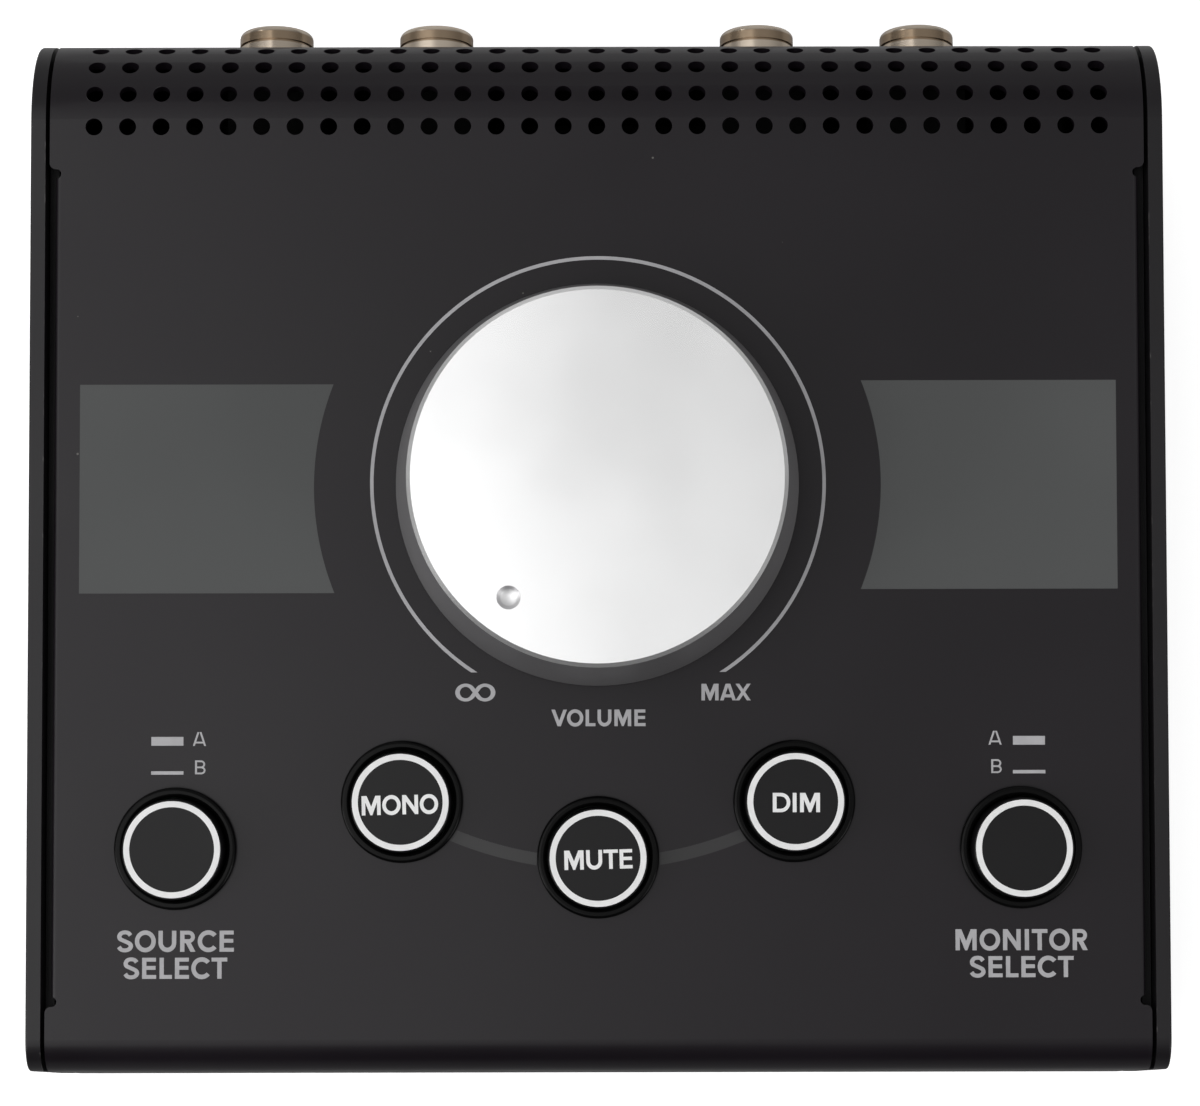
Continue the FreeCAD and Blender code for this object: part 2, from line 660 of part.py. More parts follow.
# ---- base tray: floor, two side walls, a front lip and two rear tabs
tray = new_body("base_tray")
tray_side = new_sketch(tray, "tray_side", "YZ_Plane")
slope_drop = "tray_wall_drop/cos(panel_slope)"
add_outline(tray_side, [
    ("tray_front_y", "foot_height"),
    ("tray_front_y", f"knob_height + (tray_front_y - knob_y)*tan(panel_slope) - {slope_drop}"),
    ("tray_rear_y", f"knob_height + (tray_rear_y - knob_y)*tan(panel_slope) - {slope_drop}"),
    ("tray_rear_y", "foot_height"),
])
pad(tray, tray_side, "2*tray_outer", both_ways=True)
dress(tray, "Fillet", "front_bend - cover_sheet - tray_slip", lambda edge: runs_along(edge, X_AXIS)
      and near(edge.CenterOfMass, y=value("tray_front_y")) and edge.CenterOfMass.z > value("floor_top"))
dress(tray, "Fillet", "rear_bend - cover_sheet - tray_slip", lambda edge: runs_along(edge, X_AXIS)
      and near(edge.CenterOfMass, y=value("tray_rear_y")) and edge.CenterOfMass.z > value("floor_top"))
dress(tray, "Fillet", "tray_sheet + 0.3", lambda edge: runs_along(edge, Y_AXIS)
      and near(edge.CenterOfMass, z=value("foot_height")))
tray_room = new_sketch(tray, "tray_room", "YZ_Plane")
add_outline(tray_room, [
    ("tray_front_y + tray_sheet", "floor_top"),
    ("tray_rear_y + 1", "floor_top"),
    ("tray_rear_y + 1", "rear_top + 1"),
    ("tray_front_y - 1", "rear_top + 1"),
    ("tray_front_y - 1", "floor_top + tray_lip"),
    ("tray_front_y + tray_sheet", "floor_top + tray_lip"),
])
pocket(tray, tray_room, "2*tray_inner", both_ways=True)
tab = new_sketch(tray, "tray_tab", "XZ_Plane", lift="-tray_rear_y")
add_box(tab, "tray_inner - tab_width", "tray_inner", "floor_top", "cover_rear_edge - tray_slip")
tab_pad = pad(tray, tab, "tray_sheet")
tab_hole = new_sketch(tray, "tray_tab_hole", "XZ_Plane", lift="-tray_rear_y")
for height in ("jack_upper_height", "rear_screw_lower"):
    add_circle(tab_hole, "press_nut_bore", "rear_screw_x", height)
tab_cut = pocket(tray, tab_hole, "tray_sheet + 1", both_ways=False, backwards=True)
mirror(tray, [tab_pad, tab_cut])
tray_holes = new_sketch(tray, "tray_screw_holes", "YZ_Plane")
for y, z in CHEEK_SCREWS:
    add_circle(tray_holes, "screw_hole_radius", y, z)
pocket(tray, tray_holes, "2*case_width", both_ways=True)

# ---- rear panel: a flat plate that carries the jacks, below the cover's rear edge
rear_panel = new_body("rear_panel")
JACK_HEIGHTS = ("jack_upper_height", "jack_lower_height")
JACK_ACROSS = ("jack_first_x", "jack_second_x", "-jack_first_x", "-jack_second_x")
REAR_SCREWS = [(f"{sign}rear_screw_x", height) for sign in ("", "-")
               for height in ("jack_upper_height", "rear_screw_lower")]
plate = new_sketch(rear_panel, "rear_plate", "XZ_Plane", lift="-rear_y")
add_box(plate, "-cover_half", "cover_half", "foot_height", "cover_rear_edge - layer_slip")
for height in JACK_HEIGHTS:
    for across in JACK_ACROSS:
        add_circle(plate, "nut_bore_radius", across, height)
for across, height in REAR_SCREWS:
    add_circle(plate, "screw_hole_radius", across, height)
pad(rear_panel, plate, "panel_sheet")

# ---- rubber feet, stuck to the tray's floor
FEET = {
    "foot_front_left": ("-case_half + foot_inset_x", "front_y + foot_inset_y"),
    "foot_front_right": ("case_half - foot_inset_x", "front_y + foot_inset_y"),
    "foot_rear_left": ("-case_half + foot_inset_x", "rear_y - foot_inset_y"),
    "foot_rear_right": ("case_half - foot_inset_x", "rear_y - foot_inset_y"),
}
for label, (x, y) in FEET.items():
    foot = turned_body(label, [("0", "0"), ("foot_radius", "0"),
                               ("foot_radius", "foot_height"), ("0", "foot_height")])
    dress(foot, "Fillet", "foot_round", lambda edge: near(edge.CenterOfMass, z=0)
          and edge.Curve.TypeId == "Part::GeomCircle")
    seat(foot, x, y)

# ================================================================ screws and nuts

# ---- countersunk cheek screw: its head's face at z = 0, its shank along -z
cheek_screw = turned_body("cheek_screw_form", [
    ("0", "0"), ("sink_radius", "0"), ("sink_radius", "-sink_land"),
    ("thread_radius", "-sink_land - sink_radius + thread_radius"),
    ("thread_radius", "-cheek_screw_length"), ("0", "-cheek_screw_length"),
], is_part=False)
socket = new_sketch(cheek_screw, "cheek_screw_socket", "XY_Plane")
add_hexagon(socket, "socket_flat")
pocket(cheek_screw, socket, "socket_depth")

press_nut = turned_body("press_nut_form", [
    ("press_nut_bore", "0"), ("press_nut_radius", "0"),
    ("press_nut_radius", "-press_nut_length"), ("press_nut_bore", "-press_nut_length"),
], is_part=False)


def facing_side(side, x, y, z):
    """A seat whose local +z points out of the case at that side."""
    def place(copy):
        copy.Placement = Placement(Vector(), Rotation(Vector(0, 1, 0), 90*side))
        seat(copy, x, y, z)
    return place


def facing_rear(x, y, z):
    """A seat whose local +z points to the rear."""
    def place(copy):
        copy.Placement = Placement(Vector(), Rotation(Vector(-1, 0, 0), 90))
        seat(copy, x, y, z)
    return place


screw_seats = []
nut_seats = []
for side, sign in ((1, ""), (-1, "-")):
    for k, (y, z) in enumerate(CHEEK_SCREWS):
        carrier = "flange_inner" if k < 2 else "tray_inner"
        screw_seats.append(facing_side(side, f"{sign}case_half", y, z))
        nut_seats.append(facing_side(side, f"{sign}{carrier}", y, z))
group("cheek_screws", cheek_screw, screw_seats)
group("press_nuts", press_nut, nut_seats)

# ---- pan-head screw: the face under its head at z = 0, its head above, its shank along -z


def pan_screw(label, length):
    body = turned_body(label, [
        ("0", "pan_head_height"), ("pan_head_radius", "pan_head_height"), ("pan_head_radius", "0"),
        ("thread_radius", "0"), ("thread_radius", f"-{length}"), ("0", f"-{length}"),
    ], is_part=False)
    dress(body, "Fillet", "pan_head_height/3", lambda edge: edge.Curve.TypeId == "Part::GeomCircle"
          and near(edge.CenterOfMass, z=value("pan_head_height")))
    drive = new_sketch(body, f"{label}_drive", "XY_Plane", lift="pan_head_height")
    add_hexagon(drive, "socket_flat")
    pocket(body, drive, "socket_depth")
    return body


rear_screw = pan_screw("rear_screw_form", "rear_screw_length")
group("rear_screws", rear_screw, [facing_rear(x, "rear_y", z) for x, z in REAR_SCREWS])

# ================================================================ volume control

# ---- potentiometer, soldered to the control board and clamped to the panel by its nut
pot_body = new_body("pot_body")
seat_on_panel(pot_body)
pot_outline = new_sketch(pot_body, "pot_outline", "XY_Plane", lift="board_top")
add_box(pot_outline, "-pot_width/2", "pot_width/2", "-pot_length/2", "pot_length/2")
pad(pot_body, pot_outline, "pot_height")
dress(pot_body, "Fillet", "pot_corner", lambda edge: runs_along(edge, Z_AXIS))
pot_bore = new_sketch(pot_body, "pot_bore", "XY_Plane", lift="-cover_sheet")
add_circle(pot_bore, "shaft_radius + running_play")
pocket(pot_body, pot_bore, "shaft_depth - cover_sheet + running_play")

pot_bushing = turned_body("pot_bushing", [
    ("shaft_radius + running_play", "-cover_sheet"), ("bushing_radius", "-cover_sheet"),
    ("bushing_radius", "bushing_rise"), ("shaft_radius + running_play", "bushing_rise"),
])
seat_on_panel(pot_bushing)

pot_washer = turned_body("pot_washer", [
    ("bushing_radius + running_play", "0"), ("pot_washer_radius", "0"),
    ("pot_washer_radius", "pot_washer_thickness"), ("bushing_radius + running_play", "pot_washer_thickness"),
])
seat_on_panel(pot_washer)

pot_nut = new_body("pot_nut")
seat_on_panel(pot_nut)
nut_outline = new_sketch(pot_nut, "pot_nut_outline", "XY_Plane", lift="pot_washer_thickness")
add_hexagon(nut_outline, "pot_nut_flats")
add_circle(nut_outline, "bushing_radius + running_play")
pad(pot_nut, nut_outline, "pot_nut_height")

pot_shaft = turned_body("pot_shaft", [
    ("0", "-shaft_depth"), ("shaft_radius", "-shaft_depth"), ("shaft_radius", "shaft_rise"),
    ("0", "shaft_rise"),
])
seat_on_panel(pot_shaft)
shaft_flat = new_sketch(pot_shaft, "shaft_flat_cut", "XY_Plane", lift="shaft_rise")
add_box(shaft_flat, "-2*shaft_radius", "2*shaft_radius", "shaft_flat", "2*shaft_radius")
pocket(pot_shaft, shaft_flat, "shaft_rise - shaft_flat_start")

# ---- knob: a tapered shell with a split, keyed hub, gripped on the shaft by a spring clip
knob = turned_body("knob_body", [
    ("0", "knob_rise - disc_thickness"),
    ("knob_top_radius", "knob_rise - disc_thickness"),
    ("knob_radius", "knob_lift"),
    ("knob_radius - knob_wall", "knob_lift"),
    ("knob_top_radius - knob_wall", "web_bottom"),
    ("hub_radius", "web_bottom"),
    ("hub_radius", "hub_bottom"),
    ("shaft_radius + running_play", "hub_bottom"),
    ("shaft_radius + running_play", "shaft_rise + running_play"),
    ("0", "shaft_rise + running_play"),
])
seat_on_panel(knob)
dress(knob, "Fillet", "knob_rim_round", lambda edge: edge.Curve.TypeId == "Part::GeomCircle"
      and near(edge.CenterOfMass, z=value("knob_lift")))
hub_slot = new_sketch(knob, "hub_slot", "XY_Plane", lift="hub_bottom")
add_box(hub_slot, "-hub_radius - 1", "hub_radius + 1", "-hub_slot_width/2", "hub_slot_width/2")
pocket(knob, hub_slot, "hub_slot_depth", backwards=True)
hub_key = new_sketch(knob, "hub_key", "XY_Plane", lift="shaft_flat_start + hub_slot_width")
add_box(hub_key, "-shaft_radius", "shaft_radius", "shaft_flat + running_play", "shaft_radius + 1")
pad(knob, hub_key, "shaft_rise - shaft_flat_start - hub_slot_width + 2*running_play")

knob_clip = turned_body("knob_clip", [
    ("hub_radius + clip_play", "hub_bottom + 0.3"),
    ("hub_radius + clip_play + clip_thickness", "hub_bottom + 0.3"),
    ("hub_radius + clip_play + clip_thickness", "hub_bottom + 0.3 + clip_width"),
    ("hub_radius + clip_play", "hub_bottom + 0.3 + clip_width"),
])
seat_on_panel(knob_clip)

knob_disc = turned_body("knob_disc", [
    ("0", "knob_rise - disc_thickness"), ("knob_top_radius", "knob_rise - disc_thickness"),
    ("knob_top_radius", "knob_rise - disc_chamfer"), ("knob_top_radius - disc_chamfer", "knob_rise"),
    ("0", "knob_rise"),
])
seat_on_panel(knob_disc)
doc.recompute()
plain_disc = knob_disc.Shape.Volume
dimple = knob_disc.newObject("PartDesign::SubtractiveSphere", "disc_dimple")
dimple.AttachmentSupport = [(origin(knob_disc, "XY_Plane"), "")]
dimple.MapMode = "FlatFace"
dimple.setExpression("Radius", formula("dimple_ball"))
dimple.setExpression("AttachmentOffset.Base.x", formula("-dimple_reach*sin(dimple_angle)"))
dimple.setExpression("AttachmentOffset.Base.y", formula("-dimple_reach*cos(dimple_angle)"))
dimple.setExpression("AttachmentOffset.Base.z", formula("knob_rise - dimple_depth + dimple_ball"))
doc.recompute()
if knob_disc.Shape.Volume >= plain_disc:
    raise RuntimeError("knob_disc: its dimple cuts nothing")

# ================================================================ push buttons


def button(name, x, y):
    """Bezel, cap, plunger, switch and return spring of one push button."""
    bezel = turned_body(f"{name}_bezel", [
        ("bezel_bore", "-bezel_depth"), ("bezel_bore", "bezel_rise"),
        ("bezel_bore + bezel_width", "bezel_rise"), ("bezel_bore + bezel_width", "0"),
        ("bezel_sleeve_radius", "0"), ("bezel_sleeve_radius", "-cover_sheet - running_play"),
        ("bezel_sleeve_radius + bezel_barb", "-cover_sheet - running_play"),
        ("bezel_sleeve_radius", "-bezel_depth"),
    ])
    seat_on_panel(bezel, x, y)
    dress(bezel, "Fillet", "bezel_round", lambda edge: edge.Curve.TypeId == "Part::GeomCircle"
          and near(edge.CenterOfMass, z=value("bezel_rise")))

    cap = turned_body(f"{name}_button", [
        ("0", "cap_rise"), ("cap_radius", "cap_rise"), ("cap_radius", "-cap_skirt"),
        ("cap_radius - cap_wall", "-cap_skirt"), ("cap_radius - cap_wall", "plunger_top"),
        ("cap_stem_radius", "plunger_top"), ("cap_stem_radius", "-cap_skirt"),
        ("plunger_radius + running_play", "-cap_skirt"), ("plunger_radius + running_play", "plunger_top"),
        ("0", "plunger_top"),
    ])
    seat_on_panel(cap, x, y)
    dress(cap, "Fillet", "cap_round", lambda edge: edge.Curve.TypeId == "Part::GeomCircle"
          and near(edge.CenterOfMass, z=value("cap_rise")))

    plunger = turned_body(f"{name}_plunger", [
        ("0", "plunger_top"), ("plunger_radius", "plunger_top"), ("plunger_radius", "flange_top"),
        ("plunger_flange_radius", "flange_top"), ("plunger_flange_radius", "flange_bottom"),
        ("0", "flange_bottom"),
    ])
    seat_on_panel(plunger, x, y)

    switch = new_body(f"{name}_switch")
    seat_on_panel(switch, x, y)
    housing = new_sketch(switch, f"{name}_housing", "XY_Plane", lift="board_top")
    add_box(housing, "-switch_width/2", "switch_width/2", "-switch_width/2", "switch_width/2")
    pad(switch, housing, "switch_top - board_top")
    hollow = new_sketch(switch, f"{name}_hollow", "XZ_Plane")
    add_outline(hollow, [
        ("0", "cavity_floor"), ("switch_bore_radius", "cavity_floor"), ("switch_bore_radius", "cavity_top"),
        ("plunger_radius + running_play", "cavity_top"), ("plunger_radius + running_play", "switch_top + 1"),
        ("0", "switch_top + 1"),
    ])
    doc.recompute()
    solid = switch.Shape.Volume
    groove = switch.newObject("PartDesign::Groove", f"{name}_hollow_cut")
    groove.Profile = hollow
    groove.ReferenceAxis = (hollow, ["V_Axis"])
    groove.Angle = 360
    doc.recompute()
    if switch.Shape.Volume >= solid:
        raise RuntimeError(f"{name}_switch: its hollow cuts nothing")

    spring = new_body(f"{name}_spring")
    seat_on_panel(spring, x, y)
    wire = new_sketch(spring, f"{name}_wire", "XZ_Plane")
    add_circle(wire, "spring_wire", "spring_radius", "cavity_floor + spring_wire + spring_seat_play")
    coil = spring.newObject("PartDesign::AdditiveHelix", f"{name}_coil")
    coil.Profile = wire
    coil.ReferenceAxis = (wire, ["V_Axis"])
    coil.Mode = "height-turns-angle"
    coil.setExpression("Height", formula(
        "flange_bottom - cavity_floor - 2*spring_wire - 2*spring_seat_play"))
    coil.setExpression("Turns", formula("spring_turns"))


for name, (across, along) in BUTTONS.items():
    button(name, across, along)

# ================================================================ boards

# ---- control board, hung on standoffs that are pressed into the cover from below
STANDOFFS = [(f"{sign}{x}", y) for sign in ("", "-") for x, y in (
    ("standoff_side", "board_rear - standoff_inset"),
    ("standoff_side", "-side_button_drop + standoff_lift"),
    ("standoff_front_reach", "-board_front + standoff_inset"))]
control_board = new_body("control_board")
seat_on_panel(control_board)
control_outline = new_sketch(control_board, "control_outline", "XY_Plane", lift="board_under")
add_box(control_outline, "-board_half_width", "board_half_width", "-board_front", "board_rear")
for across, along in STANDOFFS:
    add_circle(control_outline, "screw_hole_radius", across, along)
pad(control_board, control_outline, "board_thickness")

standoff = new_body("standoff_form", is_part=False)
post = new_sketch(standoff, "standoff_post", "XY_Plane", lift="board_top")
add_hexagon(post, "standoff_flats")
pad(standoff, post, "pot_height")
thread = new_sketch(standoff, "standoff_thread", "XY_Plane", lift="board_top")
add_circle(thread, "press_nut_bore")
pocket(standoff, thread, "standoff_thread_depth", backwards=True)


def on_panel(x, y):
    """A seat along the panel."""
    def place(copy):
        seat_on_panel(copy, x, y)
    return place


group("board_standoffs", standoff, [on_panel(x, y) for x, y in STANDOFFS])

board_screw = pan_screw("board_screw_form", "board_screw_length")


def under_board(x, y):
    """A seat at the board's underside whose local +z points away from the panel."""
    def place(copy):
        copy.Placement = Placement(Vector(), Rotation(Vector(1, 0, 0), 181))
        copy.setExpression("Placement.Rotation.Angle", formula("180 + panel_slope"))
        seat(copy, x, f"knob_y + ({y})*cos(panel_slope) - board_under*sin(panel_slope)",
             f"knob_height + ({y})*sin(panel_slope) + board_under*cos(panel_slope)")
    return place


group("board_screws", board_screw, [under_board(x, y) for x, y in STANDOFFS])

# ---- jacks: a moulded body and barrel each, soldered to an upright board
jack = new_body("jack_form", is_part=False)
jack_block = new_sketch(jack, "jack_block", "XY_Plane", lift="-jack_length")
add_box(jack_block, "-jack_width/2", "jack_width/2", "-jack_height/2", "jack_height/2")
pad(jack, jack_block, "jack_length")
barrel = new_sketch(jack, "jack_barrel", "XY_Plane")
add_circle(barrel, "barrel_radius")
pad(jack, barrel, "barrel_end_y - panel_inner_y")
bore = new_sketch(jack, "jack_bore", "XY_Plane", lift="-jack_length + jack_floor")
add_circle(bore, "jack_bore_radius")
pocket(jack, bore, "2*jack_length", backwards=True)
chamber = new_sketch(jack, "jack_chamber", "YZ_Plane")
add_box(chamber, "-chamber_height/2", "chamber_height/2", "-chamber_front - chamber_length",
        "-chamber_front")
pocket(jack, chamber, "jack_width + 2", both_ways=True)

contacts = new_body("jack_contact_form", is_part=False)
for name, left, right, low, high in (
        ("tip", "contact_reach", "contact_reach + contact_thickness", "-contact_width/2", "contact_width/2"),
        ("ring", "-contact_reach - contact_thickness", "-contact_reach",
         "-contact_width/2", "contact_width/2"),
        ("sleeve", "-contact_width/2", "contact_width/2", "contact_reach",
         "contact_reach + contact_thickness")):
    leaf = new_sketch(contacts, f"{name}_leaf", "XY_Plane",
                      lift="-jack_length - board_thickness - contact_tail")
    add_box(leaf, left, right, low, high)
    pad(contacts, leaf, "jack_length + board_thickness + contact_tail - chamber_front - running_play")

jack_nut = turned_body("jack_nut_form", [
    ("nut_bore_radius", "0"), ("jack_nut_radius", "0"),
    ("jack_nut_radius", "jack_nut_length"), ("nut_bore_radius", "jack_nut_length"),
], is_part=False)
dress(jack_nut, "Fillet", "jack_nut_round", lambda edge: edge.Curve.TypeId == "Part::GeomCircle"
      and near(edge.CenterOfMass, z=value("jack_nut_length"))
      and abs(edge.Curve.Radius - value("jack_nut_radius")) < 0.01)
groove = new_sketch(jack_nut, "jack_nut_groove", "XZ_Plane")
add_box(groove, "jack_nut_radius - nut_groove_depth", "jack_nut_radius + 1", "nut_groove_place",
        "nut_groove_place + nut_groove_width")
doc.recompute()
plain_volume = jack_nut.Shape.Volume
groove_cut = jack_nut.newObject("PartDesign::Groove", "jack_nut_groove_cut")
groove_cut.Profile = groove
groove_cut.ReferenceAxis = (groove, ["V_Axis"])
groove_cut.Angle = 360
doc.recompute()
if jack_nut.Shape.Volume >= plain_volume:
    raise RuntimeError("jack_nut_form: its groove cuts nothing")

jack_washer = turned_body("jack_washer_form", [
    ("nut_bore_radius", "0"), ("jack_washer_radius", "0"),
    ("jack_washer_radius", "jack_washer_thickness"), ("nut_bore_radius", "jack_washer_thickness"),
], is_part=False)


def jack_seats(depth):
    return [facing_rear(x, depth, z) for z in JACK_HEIGHTS for x in JACK_ACROSS]


group("jack_bodies", jack, jack_seats("panel_inner_y"))
group("jack_contacts", contacts, jack_seats("panel_inner_y"))
group("jack_washers", jack_washer, jack_seats("rear_y"))
group("jack_nuts", jack_nut, jack_seats("rear_y + jack_washer_thickness"))

jack_board = new_body("jack_board")
jack_plate = new_sketch(jack_board, "jack_plate", "XZ_Plane", lift="-jack_back_y")
board_reach = "jack_second_x + jack_width/2 + jack_board_margin"
add_box(jack_plate, f"-({board_reach})", board_reach,
        "jack_lower_height - jack_height/2 - jack_board_margin",
        "jack_upper_height + jack_height/2 + jack_board_margin")
pad(jack_board, jack_plate, "board_thickness")

# ---- ribbon cable and its two headers
panel_header = new_body("panel_header_form", is_part=False)
panel_socket = new_sketch(panel_header, "panel_socket", "XY_Plane", lift="board_under - header_height")
add_box(panel_socket, "-header_width/2", "header_width/2", "ribbon_v - header_depth/2",
        "ribbon_v + header_depth/2")
pad(panel_header, panel_socket, "header_height")
jack_header = new_body("jack_header_form", is_part=False)
jack_socket = new_sketch(jack_header, "jack_socket", "XZ_Plane", lift="-jack_board_y")
add_box(jack_socket, "-header_width/2", "header_width/2", "ribbon_height - header_depth/2",
        "ribbon_height + header_depth/2")
pad(jack_header, jack_socket, "header_height")
seat_on_panel(panel_header)
headers = doc.addObject("Part::Compound", "ribbon_headers")
headers.Links = [panel_header, jack_header]
parts["ribbon_headers"] = headers

ribbon = new_body("ribbon_cable")
route = new_sketch(ribbon, "ribbon_route", "YZ_Plane")
half = "ribbon_thickness/2"
lean = "ribbon_thickness/2*cos(panel_slope)"
rise = "ribbon_thickness/2*sin(panel_slope)"
inner_y = f"ribbon_corner_y + {half}/cos(panel_slope) - {half}*tan(panel_slope)"
outer_y = f"ribbon_corner_y - {half}/cos(panel_slope) + {half}*tan(panel_slope)"
add_outline(route, [
    (f"ribbon_start_y - {lean}", f"ribbon_start_z - {rise}"),
    (outer_y, f"ribbon_height - {half}"),
    ("ribbon_end_y", f"ribbon_height - {half}"),
    ("ribbon_end_y", f"ribbon_height + {half}"),
    (inner_y, f"ribbon_height + {half}"),
    (f"ribbon_start_y + {lean}", f"ribbon_start_z + {rise}"),
])
pad(ribbon, route, "ribbon_width", both_ways=True)
dress(ribbon, "Fillet", "ribbon_bend", lambda edge: runs_along(edge, X_AXIS)
      and near(edge.CenterOfMass, y=value(inner_y), z=value(f"ribbon_height + {half}")))
dress(ribbon, "Fillet", "ribbon_bend + ribbon_thickness", lambda edge: runs_along(edge, X_AXIS)
      and near(edge.CenterOfMass, y=value(outer_y), z=value(f"ribbon_height - {half}")))

# ================================================================ checks and export
doc.recompute()
for thing in doc.Objects:
    if "Invalid" in thing.State or "Error" in thing.State:
        raise RuntimeError(f"{thing.Label} failed: {thing.State}")
for label, thing in parts.items():
    if thing.Shape.isNull() or not thing.Shape.isValid() or not thing.Shape.Solids:
        raise RuntimeError(f"{label} has no valid shape")
for label, thing in parts.items():
    thing.Shape.exportStep(f"parts/{label}.step")
print(len(parts), "sub-parts")
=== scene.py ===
"""Studio monitor controller: finishes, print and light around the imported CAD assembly.

The frame is in metres: +Y runs to the rear where the jacks are, +Z up, the desk at z = 0.
The panel frame has its origin on the panel's outer face at the knob's axis, +Y up the slope.
"""

import json
import math

import bmesh
import bpy
from mathutils import Matrix, Vector
from mathutils.geometry import delaunay_2d_cdt


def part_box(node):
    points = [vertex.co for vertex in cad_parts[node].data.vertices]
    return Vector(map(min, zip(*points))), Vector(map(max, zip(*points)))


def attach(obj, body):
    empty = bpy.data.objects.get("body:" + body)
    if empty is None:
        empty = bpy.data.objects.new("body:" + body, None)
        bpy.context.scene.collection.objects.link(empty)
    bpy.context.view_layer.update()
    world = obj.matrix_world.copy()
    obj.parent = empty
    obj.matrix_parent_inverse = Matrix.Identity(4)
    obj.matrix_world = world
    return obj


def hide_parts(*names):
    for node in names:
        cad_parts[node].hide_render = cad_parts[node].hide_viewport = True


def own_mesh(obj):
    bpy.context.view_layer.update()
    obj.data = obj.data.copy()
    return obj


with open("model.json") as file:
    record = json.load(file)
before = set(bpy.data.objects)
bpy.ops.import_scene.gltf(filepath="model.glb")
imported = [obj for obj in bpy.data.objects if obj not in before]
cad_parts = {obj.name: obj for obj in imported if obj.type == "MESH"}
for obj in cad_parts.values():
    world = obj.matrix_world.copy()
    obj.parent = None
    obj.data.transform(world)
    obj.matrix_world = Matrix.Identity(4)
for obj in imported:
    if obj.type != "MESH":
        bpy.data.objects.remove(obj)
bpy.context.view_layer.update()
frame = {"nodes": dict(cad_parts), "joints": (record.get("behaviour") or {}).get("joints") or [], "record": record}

# ================================================================ top cover
# One sheet of 1.5 mm steel, bent down at the front and round the perforated rear, with flanges
# inside the cheeks. It is powder-coated satin black: a fine, even orange peel with a few dust
# specks that were caught in the coat.
MM = 0.001


def shader_node(tree, kind, inputs=None, **settings):
    """A node with its settings; an input is a value or another node's output."""
    made = tree.nodes.new(kind)
    for key, setting in settings.items():
        setattr(made, key, setting)
    for key, feed in (inputs or {}).items():
        if isinstance(feed, bpy.types.NodeSocket):
            tree.links.new(feed, made.inputs[key])
        else:
            made.inputs[key].default_value = feed
    return made


def maths(tree, operation, *feeds, clamp=False):
    """The result of a Math node."""
    return shader_node(tree, "ShaderNodeMath", dict(enumerate(feeds)), operation=operation,
                       use_clamp=clamp).outputs[0]


def remap(tree, feed, low, high, to_low, to_high):
    """A value stretched from one range to another, smoothly and held at both ends."""
    return shader_node(tree, "ShaderNodeMapRange", {
        "Value": feed, "From Min": low, "From Max": high, "To Min": to_low, "To Max": to_high},
        interpolation_type="SMOOTHSTEP").outputs["Result"]


def blend_colours(tree, amount, first, second):
    """Two colours mixed; each is an RGB triple or another node's output."""
    mix = shader_node(tree, "ShaderNodeMix", data_type="RGBA")
    for socket, feed in ((mix.inputs[0], amount), (mix.inputs[6], first), (mix.inputs[7], second)):
        if isinstance(feed, bpy.types.NodeSocket):
            tree.links.new(feed, socket)
        else:
            socket.default_value = (*feed, 1.0) if isinstance(feed, tuple) else feed
    return mix.outputs[2]


def object_place(tree):
    """The point of the surface that is shaded, in metres in the object's own frame."""
    return shader_node(tree, "ShaderNodeTexCoord").outputs["Object"]


def new_effect(name, inputs, outputs):
    """An empty shader node group with named value inputs and outputs."""
    effect = bpy.data.node_groups.new(name, "ShaderNodeTree")
    for socket, usual in inputs.items():
        effect.interface.new_socket(socket, in_out="INPUT",
                                    socket_type="NodeSocketFloat").default_value = usual
    for socket in outputs:
        effect.interface.new_socket(socket, in_out="OUTPUT", socket_type="NodeSocketFloat")
    given = effect.nodes.new("NodeGroupInput").outputs
    return effect, given, effect.nodes.new("NodeGroupOutput").inputs


# The coat's own surface: fine grain, and slow clouds of tone and gloss. The clouds use the
# middle of the noise's range.
CLOUD_RANGE = (0.3, 0.7)
grain_effect, given, out = new_effect(
    "fine_grain", {"Grain": 900.0, "Cloud": 22.0}, ("Height", "Cloud"))
spot = object_place(grain_effect)
fine = shader_node(grain_effect, "ShaderNodeTexNoise", {
    "Vector": spot, "Scale": given["Grain"], "Detail": 3.0, "Roughness": 0.55}).outputs["Fac"]
slow = shader_node(grain_effect, "ShaderNodeTexNoise", {
    "Vector": spot, "Scale": given["Cloud"], "Detail": 2.5, "Roughness": 0.5}).outputs["Fac"]
grain_effect.links.new(fine, out["Height"])
grain_effect.links.new(remap(grain_effect, slow, *CLOUD_RANGE, 0.0, 1.0), out["Cloud"])

# Edges rubbed through: the mask is 1 where the surface turns sharply, broken up by noise.
EDGE_TURN, RUBBED_RANGE, RUBBED_SCALE, BEVEL_SAMPLES = (0.03, 0.22), (0.95, 1.15), 260.0, 6
wear_effect, given, out = new_effect("rubbed_edges", {"Width": 0.0003, "Reach": 0.5}, ("Mask",))
round_normal = shader_node(wear_effect, "ShaderNodeBevel", {"Radius": given["Width"]},
                           samples=BEVEL_SAMPLES).outputs[0]
true_normal = shader_node(wear_effect, "ShaderNodeNewGeometry").outputs["Normal"]
alike = shader_node(wear_effect, "ShaderNodeVectorMath", {0: round_normal, 1: true_normal},
                    operation="DOT_PRODUCT").outputs["Value"]
turned_away = remap(wear_effect, maths(wear_effect, "SUBTRACT", 1.0, alike), *EDGE_TURN, 0.0, 1.0)
patches = shader_node(wear_effect, "ShaderNodeTexNoise", {
    "Vector": object_place(wear_effect), "Scale": RUBBED_SCALE, "Detail": 4.0,
    "Roughness": 0.65}).outputs["Fac"]
worn_patches = remap(wear_effect, maths(wear_effect, "ADD", patches, given["Reach"]),
                     *RUBBED_RANGE, 0.0, 1.0)
